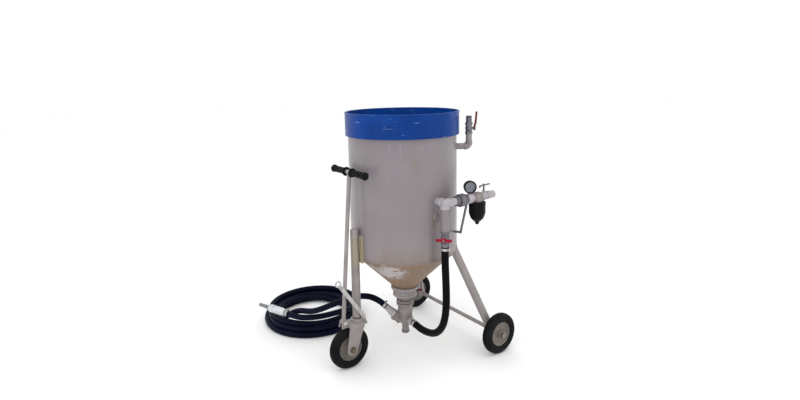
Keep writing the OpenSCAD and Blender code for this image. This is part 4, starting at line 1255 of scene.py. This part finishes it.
def make_metering_valve():
    """Metering valve: clamped flanges, body, slanted outlet, air port and bottom plug; and the reducer."""
    lo, hi = low("metering_valve"), high("metering_valve")
    place = aim((0, 0, 0))
    z0, z1 = lo.z / mm, hi.z / mm
    bm = bmesh.new()
    body = [(22, z1), (44, z1), (44, z1 - 10.6), (34, z1 - 11), (33, z1 - 14), (44, z1 - 14.4), (44, z1 - 25),
            (36, z1 - 27), (34.5, z1 - 38), (37, z1 - 44), (37, z1 - 62), (34, z1 - 68), (34, 146), (31, 134),
            (20, 118), (17.5, 114), (17, 88), (0, 88), (0, 140), (22, 140)]
    lathe(bm, soften(body, 1.5, 2, False), place, 64)
    for end, z in ((Z, z1 - 14.4), (-Z, z1 - 10.6)):
        for k in range(4):
            a = math.radians(12 + 90 * k)
            spot = aim((39 * mm * math.cos(a), 39 * mm * math.sin(a), z * mm), -end, X)
            bolt(bm, spot @ shift(0, 0, 10), 3.9, 3.4, 1.5)
    for rib in around(place, 6, 34.5, 172, start=0.5):
        block(bm, (6, 7, 44), rib, edge=2)
    port = aim((0, 0, AIR_ROUTE[-1][2]), X, Z)
    lathe(bm, soften([(0, 20), (21, 20), (20, 30), (20, 43), (10, 43)], 1.2, 2, False), port, 40)
    nut(bm, port @ shift(0, 0, 33), 20, 9, edge=1.4)
    lathe(bm, soften([(0, z0 + 14), (17.8, z0 + 14), (17.8, z0 + 20), (0, z0 + 20)], 1, 2, False), place, 40)
    out = outlet_place()
    branch = [(bore, 8), (24, 8), (23, 36), (29, 38), (29, 50), (22, 52), (22, 55), (bore, 55)]
    lathe(bm, soften(branch, 1.2, 2), out, 48)
    for lug in around(out @ Matrix.Rotation(0.5, 4, "Z"), 2, 29, 44):
        block(bm, (11, 15, 11), lug, edge=2.5)
        bolt(bm, aim(lug @ Vector((1.5 * mm, 7 * mm, 0)), lug.to_3x3() @ Y), 3.6, 3.0, 1.5)
    piece("metering_body", bm, "cast", "tank", ["metering_valve"])
    bm = bmesh.new()
    nut(bm, aim((0, 0, z0 * mm)), 17.2, 15.5, edge=1.4)
    piece("bottom_plug", bm, "iron", "tank")
    bm = bmesh.new()
    cone = [(bore, 55.2), (21.6, 55.2), (22, 58), (22, 66), (20.4, 69), (16.6, 92), (16, 95), (16, 113),
            (bore, 113)]
    lathe(bm, soften(cone, 1.2, 2), out, 48)
    piece("reducer_detail", bm, "pipe_white", "tank", ["outlet_reducer"])
    bm = bmesh.new()
    start = Vector(LEAD_ROUTE[0])
    along = Vector(LEAD_ROUTE[1]) - start
    clamp(bm, aim(start + along.normalized() * 11 * mm, along, Z), blast_clamp_r, 0.9)
    piece("outlet_clamp", bm, "zinc", "tank")


# ---------------------------------------------------------------- everything in its place

def paint_nodes():
    """Gives the CAD nodes that stay visible their materials."""
    kept = {
        "tank": ["tank_shell", "tank_head", "down_pipe"], "cone": ["tank_cone"],
        "blue": ["collar"], "seal": ["filling_seal"],
        "pipe_white": ["air_standpipe"], "grip": ["popup_valve"], "pad": ["leg_pad"],
        "leg_white": ["front_leg", "rear_legs", "rear_axle", "tow_tube"],
        "bronze": ["swivel_bush", "thrust_washer"], "zinc": ["kingpin", "tow_cross_bar"],
        "brass": ["vent_ball", "inlet_ball", "air_ball"], "dull_zinc": ["manifold_brace"],
        "needle": ["gauge_needle"], "glass": ["gauge_glass"],
    }
    for look, nodes in kept.items():
        for node in nodes:
            obj = frame["nodes"][node]
            obj.data.materials.clear()
            obj.data.materials.append(looks[look])


make_welds()
make_side_plug()
make_wheel("front", "front_wheel", "front_tyre", "front_rim")
for side in ("left", "right"):
    make_wheel(side, f"rear_wheel_{side}", f"rear_tyre_{side}", f"rear_rim_{side}")
make_axle_caps()
make_fork()
make_tow_handle()
make_catch()
make_cross()
make_union()
make_tee()
make_gauge()
make_filter()
make_vent()
make_inlet()
make_air_valve()
make_media_valve()
make_metering_valve()
paint_nodes()
